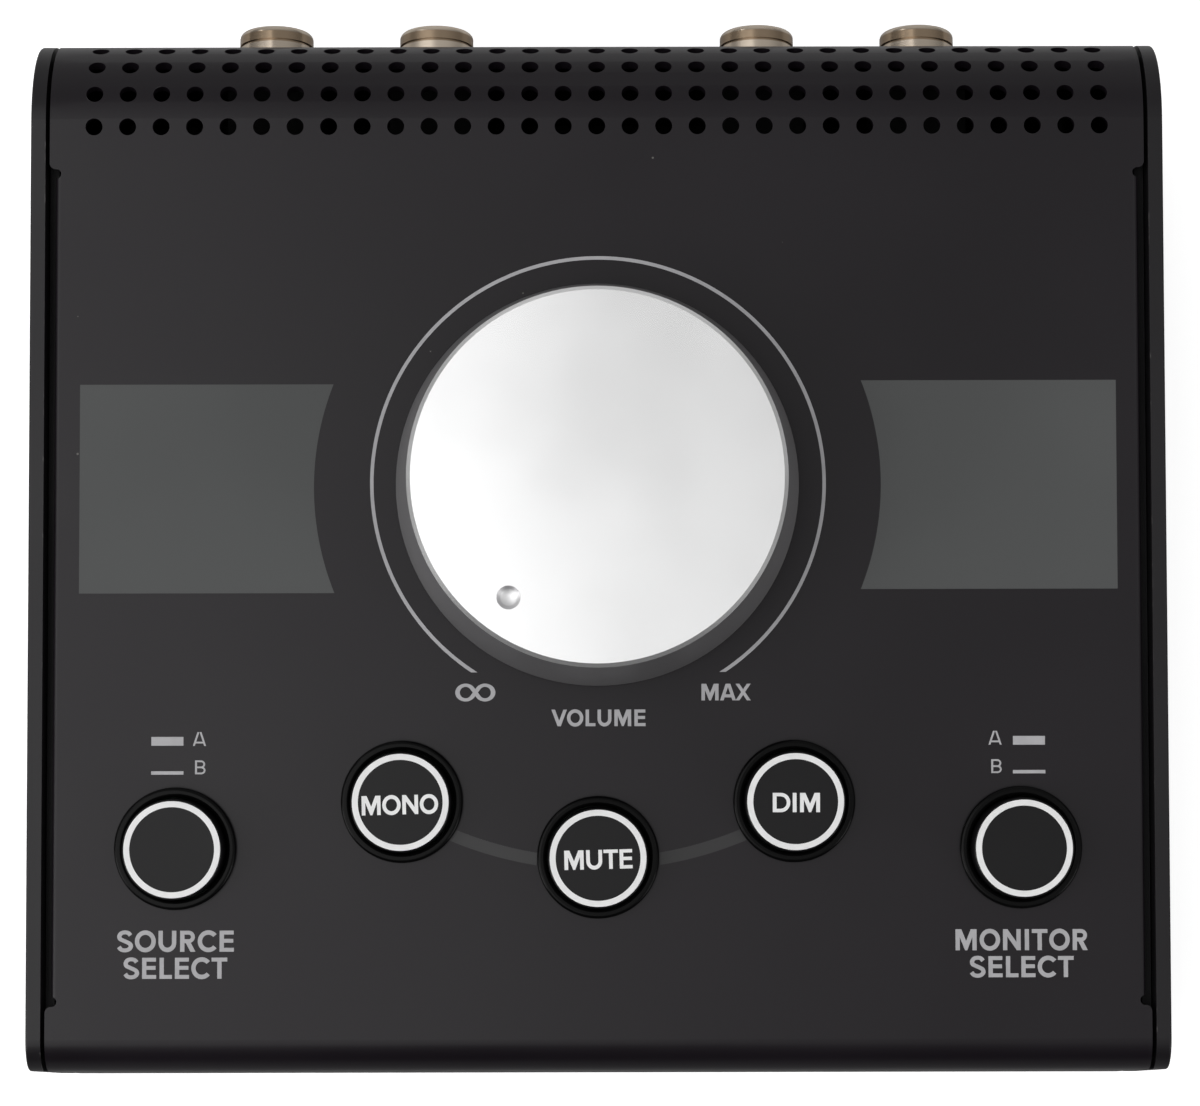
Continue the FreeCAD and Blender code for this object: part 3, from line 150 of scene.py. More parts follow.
wear_effect.links.new(maths(wear_effect, "MULTIPLY", turned_away, worn_patches), out["Mask"])

# Dust: a few small round specks of uneven size, one or none to a cell.
SMALLEST_SPECK = 0.35
dust_effect, given, out = new_effect(
    "dust_specks", {"Cells": 240.0, "Share": 0.1, "Size": 0.05}, ("Mask",))
cells = shader_node(dust_effect, "ShaderNodeTexVoronoi", {
    "Vector": object_place(dust_effect), "Scale": given["Cells"], "Randomness": 1.0})
chance = shader_node(dust_effect, "ShaderNodeSeparateColor", {"Color": cells.outputs["Color"]}).outputs
chosen = maths(dust_effect, "GREATER_THAN", given["Share"], chance[0])
speck_size = maths(dust_effect, "MULTIPLY", given["Size"],
                   maths(dust_effect, "ADD", chance[1], SMALLEST_SPECK))
near_centre = maths(dust_effect, "LESS_THAN", cells.outputs["Distance"], speck_size)
dust_effect.links.new(maths(dust_effect, "MULTIPLY", chosen, near_centre), out["Mask"])

SPECK_COLOUR, SPECK_COVER, SPECK_MATT, GRAIN_STRENGTH = (0.32, 0.31, 0.29), 0.35, 0.6, 0.35


def finish(name, colour, roughness, metallic=0.0, tone=0.12, gloss=0.06, grain=900.0, cloud=22.0,
           depth=0.02, worn=None, rub=0.45, rub_width=0.0003, dusty=0.0, dust_cells=240.0,
           specular=0.5):
    """A finish: clouds of tone and gloss, grain depth mm deep, and where they are asked for, edges
    rubbed to the colour worn and dust."""
    made = bpy.data.materials.new(name)
    made.use_nodes = True
    tree = made.node_tree
    shader = tree.nodes["Principled BSDF"]
    surface = shader_node(tree, "ShaderNodeGroup", node_tree=grain_effect)
    surface.inputs["Grain"].default_value = grain
    surface.inputs["Cloud"].default_value = cloud
    shade = blend_colours(tree, surface.outputs["Cloud"], tuple(c*(1 - tone) for c in colour),
                          tuple(c*(1 + tone) for c in colour))
    rough = remap(tree, surface.outputs["Cloud"], 0.0, 1.0, roughness - gloss, roughness + gloss)
    if worn:
        rubbed = shader_node(tree, "ShaderNodeGroup", node_tree=wear_effect)
        rubbed.inputs["Reach"].default_value = rub
        rubbed.inputs["Width"].default_value = rub_width
        shade = blend_colours(tree, rubbed.outputs["Mask"], shade, worn)
    if dusty:
        dust = shader_node(tree, "ShaderNodeGroup", node_tree=dust_effect)
        dust.inputs["Share"].default_value = dusty
        dust.inputs["Cells"].default_value = dust_cells
        speck = maths(tree, "MULTIPLY", dust.outputs["Mask"], SPECK_COVER)
        shade = blend_colours(tree, speck, shade, SPECK_COLOUR)
        rough = maths(tree, "ADD", rough, maths(tree, "MULTIPLY", speck, SPECK_MATT), clamp=True)
    tree.links.new(shade, shader.inputs["Base Color"])
    tree.links.new(rough, shader.inputs["Roughness"])
    shader.inputs["Metallic"].default_value = metallic
    shader.inputs["Specular IOR Level"].default_value = specular
    bump = shader_node(tree, "ShaderNodeBump", {
        "Height": surface.outputs["Height"], "Strength": GRAIN_STRENGTH, "Distance": depth*MM})
    tree.links.new(bump.outputs["Normal"], shader.inputs["Normal"])
    return made


def give_finish(slot, made):
    """Put a finish on every CAD node of a material slot of the record."""
    for part in frame["record"]["subparts"]:
        if part["material_slot"] == slot:
            mesh = frame["nodes"][part["node"]].data
            mesh.materials.clear()
            mesh.materials.append(made)


give_finish("panel_black", finish(
    "satin_powder_coat", (0.0066, 0.0048, 0.0070), 0.33, tone=0.08, gloss=0.02, grain=1500.0,
    depth=0.012, worn=(0.10, 0.10, 0.10), rub=0.36, rub_width=0.00025, dusty=0.035, dust_cells=330.0,
    specular=0.285))

# ================================================================ base tray and rear panel
# The tray is folded from the same sheet steel and coated like the cover. The rear panel is a
# flat plate screwed to the tray's tabs, drilled for the eight jacks.
give_finish("case_black", finish(
    "case_powder_coat", (0.0062, 0.0056, 0.0066), 0.45, tone=0.1, gloss=0.03, grain=1300.0,
    depth=0.014, worn=(0.06, 0.06, 0.06), rub=0.36, dusty=0.04, dust_cells=300.0, specular=0.16))

# ================================================================ cheeks
# Two steel plates, 2.45 mm thick, with a rounded rim that stands a little proud of the cover.
# Four screws hold each to press nuts in the case. Their rims are handled most, so the coat is
# rubbed there.
give_finish("cheek_black", finish(
    "cheek_powder_coat", (0.0096, 0.0086, 0.0100), 0.34, tone=0.1, gloss=0.03, grain=1300.0,
    depth=0.014, worn=(0.16, 0.15, 0.145), rub=0.40, rub_width=0.0004, dusty=0.06, dust_cells=300.0,
    specular=0.27))

# ================================================================ feet
# Four moulded black rubber pads, stuck to the underside of the tray near its corners. The
# rubber is matt and holds dust.
give_finish("foot_rubber", finish(
    "foot_rubber", (0.018, 0.018, 0.019), 0.82, tone=0.2, gloss=0.05, grain=700.0, depth=0.04,
    dusty=0.25, dust_cells=420.0))

# ================================================================ screws and nuts
# Blackened M3 screws hold the cheeks and the rear panel. The fasteners inside are zinc plated
# steel: press nuts, standoffs, board screws, the potentiometer's nut and washer, the knob's clip.
give_finish("screw_black", finish(
    "blackened_screw", (0.022, 0.021, 0.021), 0.38, metallic=0.6, tone=0.2, gloss=0.08, grain=2200.0,
    depth=0.006, worn=(0.22, 0.21, 0.20), rub=0.42, rub_width=0.0002))
give_finish("zinc_steel", finish(
    "zinc_plated_steel", (0.52, 0.53, 0.55), 0.34, metallic=1.0, tone=0.12, gloss=0.08, grain=1800.0,
    depth=0.006, worn=(0.62, 0.62, 0.62), rub=0.45))

# ================================================================ potentiometer
# A moulded black potentiometer under the panel, with a turned brass bushing that a washer and a
# nut clamp to the sheet. The knob sits on its flatted aluminium shaft and hides it all.
give_finish("pot_black", finish(
    "moulded_pot_body", (0.016, 0.016, 0.017), 0.55, tone=0.15, grain=1100.0, depth=0.02))
give_finish("pot_brass", finish(
    "turned_brass", (0.62, 0.45, 0.2), 0.3, metallic=1.0, tone=0.12, grain=2400.0, depth=0.004,
    worn=(0.7, 0.55, 0.3), rub=0.42))
give_finish("shaft_aluminium", finish(
    "turned_shaft", (0.66, 0.66, 0.67), 0.32, metallic=1.0, tone=0.08, grain=2400.0, depth=0.004,
    worn=(0.75, 0.75, 0.75), rub=0.42))

# ================================================================ knob
# A tapered black shell with a satin aluminium disc let into its top. The disc has a chamfered
# rim and one machined dimple that marks the setting.
# The shell is black; its colour is lifted to a dark grey that paints in the sheen of its sides.
give_finish("knob_black", finish(
    "knob_shell_painted_sheen", (0.160, 0.156, 0.161), 0.42, tone=0.08, gloss=0.03, grain=1500.0, depth=0.008,
    worn=(0.12, 0.12, 0.12), rub=0.36, rub_width=0.0002))
disc_finish = finish(
    "satin_aluminium", (0.925, 0.925, 0.927), 0.24, metallic=1.0, tone=0.01, gloss=0.02,
    grain=2600.0, cloud=30.0, depth=0.001)
give_finish("disc_aluminium", disc_finish)

# The panel's own frame: the knob's axis gives its origin and its slope.
turn_joint = next(j for j in frame["joints"] if j["name"] == "knob_turn")
slope = math.atan2(turn_joint["axis"][1], -turn_joint["axis"][2])
PANEL = Matrix.Translation(turn_joint["pos_m"]) @ Matrix.Rotation(slope, 4, "X")

# The cutter left the dimple duller than the satin face round it. Its colour is painted darker as
# shade, most towards its rim. Where that painted rim shade starts and ends, and where the cut ends,
# are shares of the dimple's radius.
DIMPLE_PLACE, DIMPLE_RADIUS, DIMPLE_MATT = (-14.0*MM, -19.12*MM, 20.0*MM), 1.85*MM, 0.26
BOWL_SHADE_COLOUR, RIM_SHADE_COLOUR, RIM_SHADE_STARTS, RIM_SHADE_ENDS, CUT_ENDS = (
    (0.80, 0.80, 0.805), (0.64, 0.635, 0.645), 0.66, 0.8, 1.06)
tree = disc_finish.node_tree
shader = tree.nodes["Principled BSDF"]
to_dimple = shader_node(tree, "ShaderNodeVectorMath", {
    0: object_place(tree), 1: PANEL @ Vector(DIMPLE_PLACE)}, operation="DISTANCE").outputs["Value"]
cut = remap(tree, to_dimple, DIMPLE_RADIUS, DIMPLE_RADIUS*CUT_ENDS, 1.0, 0.0)
rim_shade = remap(tree, to_dimple, DIMPLE_RADIUS*RIM_SHADE_STARTS, DIMPLE_RADIUS*RIM_SHADE_ENDS, 0.0, 1.0)
# The dimple's colour is painted shade: darker than the satin face, and darker still at its rim.
dimple_shade = blend_colours(tree, rim_shade, BOWL_SHADE_COLOUR, RIM_SHADE_COLOUR)
satin, gloss = (shader.inputs[socket].links[0].from_socket for socket in ("Base Color", "Roughness"))
tree.links.new(blend_colours(tree, cut, satin, dimple_shade), shader.inputs["Base Color"])
tree.links.new(maths(tree, "ADD", gloss, maths(tree, "MULTIPLY", cut, DIMPLE_MATT)),
               shader.inputs["Roughness"])

# ================================================================ push buttons
# Five round buttons, each in a glossy black bezel pushed into the panel. The caps are satin
# black mouldings; plunger, spring and switch are inside the case.
BUTTONS = ("mono", "mute", "dim", "source_select", "monitor_select")
give_finish("bezel_gloss", finish(
    "glossy_bezel", (0.0020, 0.0020, 0.0021), 0.2, tone=0.1, gloss=0.04, grain=900.0, depth=0.004,
    worn=(0.04, 0.04, 0.04), rub=0.34, rub_width=0.0002, specular=0.09))
give_finish("cap_black", finish(
    "satin_cap", (0.0040, 0.0038, 0.0044), 0.34, tone=0.08, gloss=0.03, grain=1700.0, depth=0.01,
    worn=(0.06, 0.06, 0.06), rub=0.34, rub_width=0.0002, specular=0.22))
give_finish("plunger_white", finish(
    "moulded_plunger", (0.78, 0.77, 0.73), 0.45, tone=0.05, grain=1200.0, depth=0.01))
give_finish("switch_black", finish(
    "moulded_switch", (0.02, 0.02, 0.021), 0.5, tone=0.15, grain=1200.0, depth=0.015))
give_finish("spring_steel", finish(
    "drawn_spring_wire", (0.5, 0.5, 0.5), 0.3, metallic=1.0, tone=0.12, grain=2600.0, depth=0.004))

# Each return spring stands on its switch. Its mesh is copied into an object of its own that rides on the case, and
# the CAD part is hidden.
for name in BUTTONS:
    coil = frame["nodes"][f"{name}_spring"].data.copy()
    spring = bpy.data.objects.new(f"{name}_return_spring", coil)
    bpy.context.scene.collection.objects.link(spring)
    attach(spring, "case")
    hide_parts(f"{name}_spring")
    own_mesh(spring)

# ================================================================ boards and ribbon cable
# Two fibreglass circuit boards with green solder mask: one on standoffs under the panel, and one
# upright at the jacks' inner ends. A flat grey ribbon with a black header at each end joins them.
give_finish("board_green", finish(
    "solder_mask", (0.012, 0.075, 0.03), 0.36, tone=0.25, gloss=0.06, grain=1600.0, cloud=60.0,
    depth=0.01, worn=(0.35, 0.3, 0.18), rub=0.4))
give_finish("ribbon_grey", finish(
    "ribbon_sleeve", (0.33, 0.33, 0.34), 0.5, tone=0.1, grain=1100.0, depth=0.02))
give_finish("header_black", finish(
    "moulded_header", (0.018, 0.018, 0.018), 0.5, tone=0.12, grain=1200.0, depth=0.02))

# ================================================================ jacks
# Eight 6.35 mm sockets: black moulded bodies with brass contacts, each held by a turned ring
# nut of warm nickel plate over a washer.
give_finish("jack_black", finish(
    "moulded_jack", (0.004, 0.004, 0.004), 0.6, tone=0.12, grain=1200.0, depth=0.015,
    worn=(0.02, 0.02, 0.02), rub=0.36, specular=0.15))
give_finish("contact_brass", finish(
    "contact_brass", (0.6, 0.45, 0.2), 0.3, metallic=1.0, tone=0.15, grain=2000.0, depth=0.004))
nickel = finish(
    "warm_nickel_plate", (0.60, 0.515, 0.42), 0.26, metallic=1.0, tone=0.1, gloss=0.06, grain=1800.0,
    depth=0.004, worn=(0.72, 0.64, 0.54), rub=0.42, rub_width=0.0002)
give_finish("jack_nickel", nickel)

# The turned band behind each nut's lip is coloured a darker brown. It lies between two depths behind
# the nut's face, and fades in and out over a short edge.
DARK_BAND_NEAR, DARK_BAND_FAR, DARK_BAND_EDGE, DARK_BAND_COLOUR = 0.95*MM, 2.75*MM, 0.12*MM, (0.34, 0.255, 0.175)
tree = nickel.node_tree
shader = tree.nodes["Principled BSDF"]
along = shader_node(tree, "ShaderNodeSeparateXYZ", {"Vector": object_place(tree)}).outputs["Y"]
behind_lip = maths(tree, "SUBTRACT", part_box("jack_nuts")[1][1], along)
begun = remap(tree, behind_lip, DARK_BAND_NEAR - DARK_BAND_EDGE, DARK_BAND_NEAR + DARK_BAND_EDGE, 0.0, 1.0)
ended = remap(tree, behind_lip, DARK_BAND_FAR - DARK_BAND_EDGE, DARK_BAND_FAR + DARK_BAND_EDGE, 1.0, 0.0)
bright = shader.inputs["Base Color"].links[0].from_socket
tree.links.new(blend_colours(tree, maths(tree, "MULTIPLY", begun, ended), bright, DARK_BAND_COLOUR),
               shader.inputs["Base Color"])

# ================================================================ print on the panel
# Screen-printed legends in pale grey, some tens of micrometres thick: the volume scale with its
# two end marks, the switch names, and the bars that say which input or output is live.
INK_SUNK, INK_PROUD, MERGE_MM = -0.02*MM, 0.03*MM, 1e-4


def new_piece(name, mesh, made, body):
    """Add a piece of the object from a mesh in the panel frame, riding on a body."""
    mesh.transform(PANEL)
    mesh.materials.clear()
    mesh.materials.append(made)
    piece = bpy.data.objects.new(name, mesh)
    bpy.context.scene.collection.objects.link(piece)
    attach(piece, body)


def film(name, outlines, low=INK_SUNK, high=INK_PROUD):
    """A thin film of ink over flat outlines, each a list of (x, y) in mm; they may overlap."""
    points, faces = [], []
    for outline in outlines:
        turn = sum(a[0]*b[1] - a[1]*b[0] for a, b in zip(outline, outline[1:] + outline[:1]))
        faces.append(list(range(len(points), len(points) + len(outline))))
        points += [Vector(point) for point in (outline if turn > 0 else outline[::-1])]
    merged, _, cells, _, _, sources = delaunay_2d_cdt(points, [], faces, 1, MERGE_MM, True)
    shape = bmesh.new()
    corners = [shape.verts.new((x*MM, y*MM, high)) for x, y in merged]
    top = [shape.faces.new([corners[k] for k in cell])
           for cell, source in zip(cells, sources) if source]
    bmesh.ops.delete(shape, geom=[vert for vert in shape.verts if not vert.link_faces], context="VERTS")
    sunk = bmesh.ops.extrude_face_region(shape, geom=top, use_keep_orig=True)
    for vert in (item for item in sunk["geom"] if isinstance(item, bmesh.types.BMVert)):
        vert.co.z = low
    bmesh.ops.recalc_face_normals(shape, faces=shape.faces)
    mesh = bpy.data.meshes.new(name)
    shape.to_mesh(mesh)
    shape.free()
    return mesh


def block(left, low, right, high):
    """A rectangle as an outline."""
    return [(left, low), (right, low), (right, high), (left, high)]


def bow(centre, outer, start, stop, thick, steps=24):
    """A curved stroke: quads between an ellipse and one that is thick less, from angle to angle."""
    turns = [math.radians(start + (stop - start)*k/steps) for k in range(steps + 1)]
    rims = [[(centre[0] + (outer[0] - inset)*math.cos(a), centre[1] + (outer[1] - inset)*math.sin(a))
             for a in turns] for inset in (0, thick)]
    return [[rims[0][k], rims[0][k + 1], rims[1][k + 1], rims[1][k]] for k in range(steps)]


def ribbon(path, half, closed=False):
    """A stroke along a path: quads with the pen's half width and half height to each side."""
    count = len(path)
    sides = []
    for k in range(count):
        ahead = (k + 1) % count if closed else min(k + 1, count - 1)
        behind = k - 1 if closed else max(k - 1, 0)
        along = (path[ahead] - path[behind]).normalized()
        side = Vector((-along.y*half[0], along.x*half[1]))
        sides.append((path[k] - side, path[k] + side))
    last = count if closed else count - 1
    return [[tuple(p) for p in (*sides[k], *reversed(sides[(k + 1) % count]))] for k in range(last)]


def capital(sign, w):
    """Side room, width, side room and outlines of a capital, in shares of its height, with
    strokes w wide. Each is drawn from straight blocks and bows."""
    arm, mid = 0.88*w, 0.5
    stem = block(0, 0, w, 1)
    if sign == "I":
        return 0.10, w, 0.10, [stem]
    if sign == "L":
        return 0.10, 0.61, 0.045, [stem, block(0, 0, 0.61, arm)]
    if sign == "E":
        return 0.10, 0.69, 0.065, [stem, block(0, 0, 0.69, arm), block(0, 1 - arm, 0.68, 1),
                                   block(0, mid + 0.02 - arm/2, 0.66, mid + 0.02 + arm/2)]
    if sign == "T":
        return 0.04, 0.77, 0.04, [block(0, 1 - arm, 0.77, 1), block(0.385 - w/2, 0, 0.385 + w/2, 1)]
    if sign == "U":
        return 0.085, 0.86, 0.085, [block(0, 0.43, w, 1), block(0.86 - w, 0.43, 0.86, 1),
                                    *bow((0.43, 0.43), (0.43, 0.445), 180, 360, w)]
    if sign == "O":
        return 0.045, 1.01, 0.045, bow((0.505, mid), (0.505, 0.52), 0, 360, w, 48)
    if sign == "C":
        return 0.045, 0.91, 0.045, bow((0.515, mid), (0.515, 0.52), 40, 320, w, 40)
    if sign == "D":
        return 0.10, 0.915, 0.045, [stem, block(0, 0, 0.44, arm), block(0, 1 - arm, 0.44, 1),
                                    *bow((0.44, mid), (0.475, 0.5), -90, 90, 0.94*w)]
    if sign == "R":
        return 0.10, 0.74, 0.065, [stem, block(0, 1 - arm, 0.41, 1), block(0, 0.41, 0.41, 0.41 + arm),
                                   *bow((0.41, 0.705), (0.30, 0.295), -90, 90, arm),
                                   [(0.26, 0.45), (0.74 - 1.15*w, 0), (0.74, 0), (0.26 + 1.15*w, 0.45)]]
    if sign == "B":
        return 0.10, 0.74, 0.045, [stem, block(0, 1 - arm, 0.42, 1), block(0, 0, 0.42, arm),
                                   block(0, mid - arm/2, 0.42, mid + arm/2),
                                   *bow((0.42, 0.75 - arm/4), (0.29, 0.25 + arm/4), -90, 90, arm),
                                   *bow((0.42, 0.25 + arm/4), (0.32, 0.25 + arm/4), -90, 90, arm)]
    if sign == "N":
        return 0.10, 0.87, 0.10, [stem, block(0.87 - w, 0, 0.87, 1),
                                  [(0, 0.94), (0.87 - 0.9*w, 0), (0.87, 0), (0.87, 0.10),
                                   (1.05*w, 1), (0, 1)]]
    if sign == "M":
        return 0.10, 1.04, 0.10, [stem, block(1.04 - w, 0, 1.04, 1),
                                  [(0.06, 1), (0.465, 0), (0.575, 0), (0.98, 1), (0.98 - 1.1*w, 1),
                                   (0.52, 0.44), (0.06 + 1.1*w, 1)]]
    if sign == "V":
        return -0.045, 0.97, -0.045, [[(0, 1), (0.385, 0), (0.585, 0), (0.97, 1), (0.97 - 1.08*w, 1),
                                       (0.485, 0.72 - 1.9*w), (1.08*w, 1)]]
    if sign == "A":
        return -0.01, 0.96, -0.01, [[(0, 0), (0.335, 1), (0.335 + w, 1), (w, 0)],
                                    [(0.96 - w, 0), (0.625 - w, 1), (0.625, 1), (0.96, 0)],
                                    block(0.16, 0.18, 0.80, 0.18 + arm)]
    if sign == "X":
        return -0.01, 0.92, -0.01, [[(0, 0), (0.92 - 1.1*w, 1), (0.92, 1), (1.1*w, 0)],
                                    [(0, 1), (1.1*w, 1), (0.92, 0), (0.92 - 1.1*w, 0)]]
    # The S is one stroke through a few points of its middle line, rounded between them.
    marks = [Vector(point) for point in (
        (0.97, 0.83), (0.80, 0.955), (0.53, 1.0), (0.22, 0.955), (0.05, 0.80), (0.10, 0.64),
        (0.35, 0.55), (0.62, 0.47), (0.92, 0.36), (1.0, 0.20), (0.82, 0.05), (0.50, 0.0),
        (0.20, 0.045), (0.0, 0.19))]
    marks = [marks[0]*2 - marks[1], *marks, marks[-1]*2 - marks[-2]]
    path = []
    for k in range(1, len(marks) - 2):
        before, here, there, beyond = marks[k - 1:k + 3]
        for t in (0, 0.25, 0.5, 0.75):
            path.append(here + (there - before)*t/2 + (before*2 - here*5 + there*4 - beyond)*t*t/2
                        + (here*3 - before - there*3 + beyond)*t**3/2)
    path.append(marks[-2])
    width, drop = 0.79 - w, 1.04 - arm
    path = [Vector((w/2 + point.x*width, arm/2 - 0.02 + point.y*drop)) for point in path]
    return 0.045, 0.79, 0.045, ribbon(path, (w/2, arm/2))


WORD_STROKE, LETTER_STROKE = 0.21, 0.14


def words(name, text, centre, size, stroke=WORD_STROKE, spacing=0.0, turn=0.0, low=INK_SUNK,
          high=INK_PROUD):
    """Drawn capitals as a thin film, with a width and a cap height in mm round their centre; the
    stroke and the spacing are shares of the height, and the turn is in degrees."""
    pen, outlines = 0.0, []
    for sign in text:
        before, width, after, forms = capital(sign, stroke)
        pen += before + spacing
        outlines += [[(pen + x, y) for x, y in form] for form in forms]
        pen += width + after
    across = [x for outline in outlines for x, _ in outline]
    middle, stretch = (min(across) + max(across))/2, size[0]/(max(across) - min(across))
    swing = Matrix.Rotation(math.radians(turn), 2)
    placed = [[tuple(swing @ Vector(((x - middle)*stretch, (y - 0.5)*size[1])) + Vector(centre))
               for x, y in outline] for outline in outlines]
    return film(name, placed, low, high)


legend_ink = finish("legend_ink", (0.40, 0.395, 0.41), 0.6, tone=0.05, gloss=0.03, grain=2600.0,
                    cloud=400.0, depth=0.01)
# Each legend's words, its middle and its size in mm.
LEGENDS = {
    "legend_volume": ("VOLUME", (0.1, -37.95), (15.3, 2.7)),
    "legend_max": ("MAX", (20.85, -33.8), (8.0, 2.7)),
    "legend_source": ("SOURCE", (-68.45, -73.95), (18.9, 3.4)),
    "legend_source_select": ("SELECT", (-68.45, -78.3), (16.8, 3.4)),
    "legend_monitor": ("MONITOR", (68.55, -73.95), (21.4, 3.4)),
    "legend_monitor_select": ("SELECT", (68.55, -78.3), (16.8, 3.4)),
    "legend_source_a": ("A", (-64.7, -41.25), (2.15, 2.25)),
    "legend_source_b": ("B", (-64.55, -45.85), (1.7, 2.25)),
    "legend_monitor_a": ("A", (64.5, -41.3), (2.15, 2.25)),
    "legend_monitor_b": ("B", (64.7, -45.9), (1.7, 2.25)),
}
for name, (text, centre, size) in LEGENDS.items():
    stroke = LETTER_STROKE if len(text) == 1 else WORD_STROKE
    new_piece(name, words(name, text, centre, size, stroke), legend_ink, "case")

BARS = {"bar_source_a": ((-69.9, -41.62), (5.2, 1.42)), "bar_source_b": ((-69.9, -46.75), (5.25, 0.55)),
        "bar_monitor_a": ((70.0, -41.72), (5.2, 1.42)), "bar_monitor_b": ((70.0, -46.8), (5.25, 0.55))}
for name, (centre, size) in BARS.items():
    x, y, w, h = *centre, size[0]/2, size[1]/2
    new_piece(name, film(name, [block(x - w, y - h, x + w, y + h)]), legend_ink, "case")

# The scale runs round the knob, and both its ends are cut level.
SCALE_CENTRE, SCALE_RADIUS, SCALE_WIDTH = (0.1, 0.33), 36.87, 0.57
SCALE_END, SCALE_STEPS = math.radians(33.2), 180
level = SCALE_RADIUS*math.cos(SCALE_END)
edges = []
for radius in (SCALE_RADIUS - SCALE_WIDTH/2, SCALE_RADIUS + SCALE_WIDTH/2):
    start = math.acos(level/radius)
    turns = [start + (2*math.pi - 2*start)*k/SCALE_STEPS for k in range(SCALE_STEPS + 1)]
    edges.append([(SCALE_CENTRE[0] - radius*math.sin(a), SCALE_CENTRE[1] - radius*math.cos(a))
                  for a in turns])
inner, outer = edges
strips = [[inner[k], outer[k], outer[k + 1], inner[k + 1]] for k in range(SCALE_STEPS)]
new_piece("volume_scale", film("volume_scale", strips), legend_ink, "case")

# The closed end of the scale is marked with an endless loop: two ovals and a straight crossing.
LOOP_CENTRE, LOOP_OFFSET, LOOP_OVAL = (-19.9, -33.8), 1.58, (1.31, 1.19)
LOOP_PEN, LOOP_STEPS = (0.37, 0.26), 40
tangent = math.acos(-LOOP_OVAL[0]/LOOP_OFFSET)
path = []
for side in (1, -1):
    for k in range(LOOP_STEPS + 1):
        angle = tangent*(1 - 2*k/LOOP_STEPS)
        path.append(Vector((LOOP_CENTRE[0] + side*(LOOP_OFFSET + LOOP_OVAL[0]*math.cos(angle)),
                            LOOP_CENTRE[1] + LOOP_OVAL[1]*math.sin(angle))))
new_piece("scale_closed_mark", film("scale_closed_mark", ribbon(path, LOOP_PEN, closed=True)),
          legend_ink, "case")

# ================================================================ writing fields
# Two flat grey fields beside the knob, printed as a matt film that takes a pencil note; their
# inner edges follow the knob. Each was registered a little off level.
FIELD_LOW, FIELD_HIGH, FIELD_ARC, FIELD_STEPS, FIELD_PROUD = -17.3, 16.8, 46.2, 32, 0.02*MM
FIELDS = (("field_left", -1, 84.4, -0.28), ("field_right", 1, 84.65, 0.22))
field_ink = finish("field_ink", (0.0930, 0.0955, 0.0955), 0.8, tone=0.04, gloss=0.02, grain=2200.0,
                   depth=0.008, specular=0.04)
levels = [FIELD_LOW + (FIELD_HIGH - FIELD_LOW)*k/FIELD_STEPS for k in range(FIELD_STEPS + 1)]
for name, side, reach, lift in FIELDS:
    strips = []
    for low, high in zip(levels, levels[1:]):
        near_low, near_high = math.sqrt(FIELD_ARC**2 - low**2), math.sqrt(FIELD_ARC**2 - high**2)
        strips.append([(side*near_low, low + lift), (side*reach, low + lift),
                       (side*reach, high + lift), (side*near_high, high + lift)])
    new_piece(name, film(name, strips, high=FIELD_PROUD), field_ink, "case")

# ================================================================ band between the buttons
# A faint, slightly lighter printed band joins MONO, MUTE and DIM on an arc round the knob. It
# stops short of the bezels, by a length along the arc from each button's middle.
BAND_RADIUS, BAND_WIDTH, BAND_STEPS, BAND_PROUD = 61.6, 2.0, 24, 0.015*MM
FROM_MUTE, FROM_NEXT, BUTTON_STEP = 9.9, 9.8, math.radians(31.7)
band_ink = finish("band_ink", (0.016, 0.0155, 0.0165), 0.45, tone=0.08, grain=2200.0, depth=0.008)
start, stop = FROM_MUTE/BAND_RADIUS, BUTTON_STEP - FROM_NEXT/BAND_RADIUS
for name, side in (("band_left", -1), ("band_right", 1)):
    strips = []
    for k in range(BAND_STEPS):
        corners = []
        for edge, step in ((-1, k), (1, k), (1, k + 1), (-1, k + 1)):
            angle = start + (stop - start)*step/BAND_STEPS
            reach = BAND_RADIUS + edge*BAND_WIDTH/2
            corners.append((side*reach*math.sin(angle), -reach*math.cos(angle)))
        strips.append(corners)
    new_piece(name, film(name, strips, high=BAND_PROUD), band_ink, "case")

# ================================================================ print on the caps
# Every cap has a white ring at its very edge, and the three caps below the knob carry their
# name. The print goes down with its cap.
CAP_TOP, CAP_RADIUS, CAP_ROUND, CAP_INK = 5.3, 8.1, 0.45, 0.02
RING_INNER, RING_OUTER, RING_STEPS, RING_BENDS = 6.82, 7.78, 128, 5
BUTTON_REACH, SIDE_REACH, SIDE_DROP = 60.5, 68.5, 59.0
cap_ink = finish("cap_ink", (0.80, 0.80, 0.80), 0.5, tone=0.03, gloss=0.03, grain=2600.0,
                 cloud=400.0, depth=0.008)
aside, below = BUTTON_REACH*math.sin(BUTTON_STEP), BUTTON_REACH*math.cos(BUTTON_STEP)
press_place = {"mono": (-aside, -below), "mute": (0.0, -BUTTON_REACH), "dim": (aside, -below),
               "source_select": (-SIDE_REACH, -SIDE_DROP), "monitor_select": (SIDE_REACH, -SIDE_DROP)}
flat_edge = CAP_RADIUS - CAP_ROUND
profile = [(RING_INNER, CAP_TOP), (flat_edge, CAP_TOP)]
for k in range(1, RING_BENDS + 1):
    reach = (RING_OUTER - flat_edge)*k/RING_BENDS
    profile.append((flat_edge + reach, CAP_TOP - CAP_ROUND + math.sqrt(CAP_ROUND**2 - reach**2)))
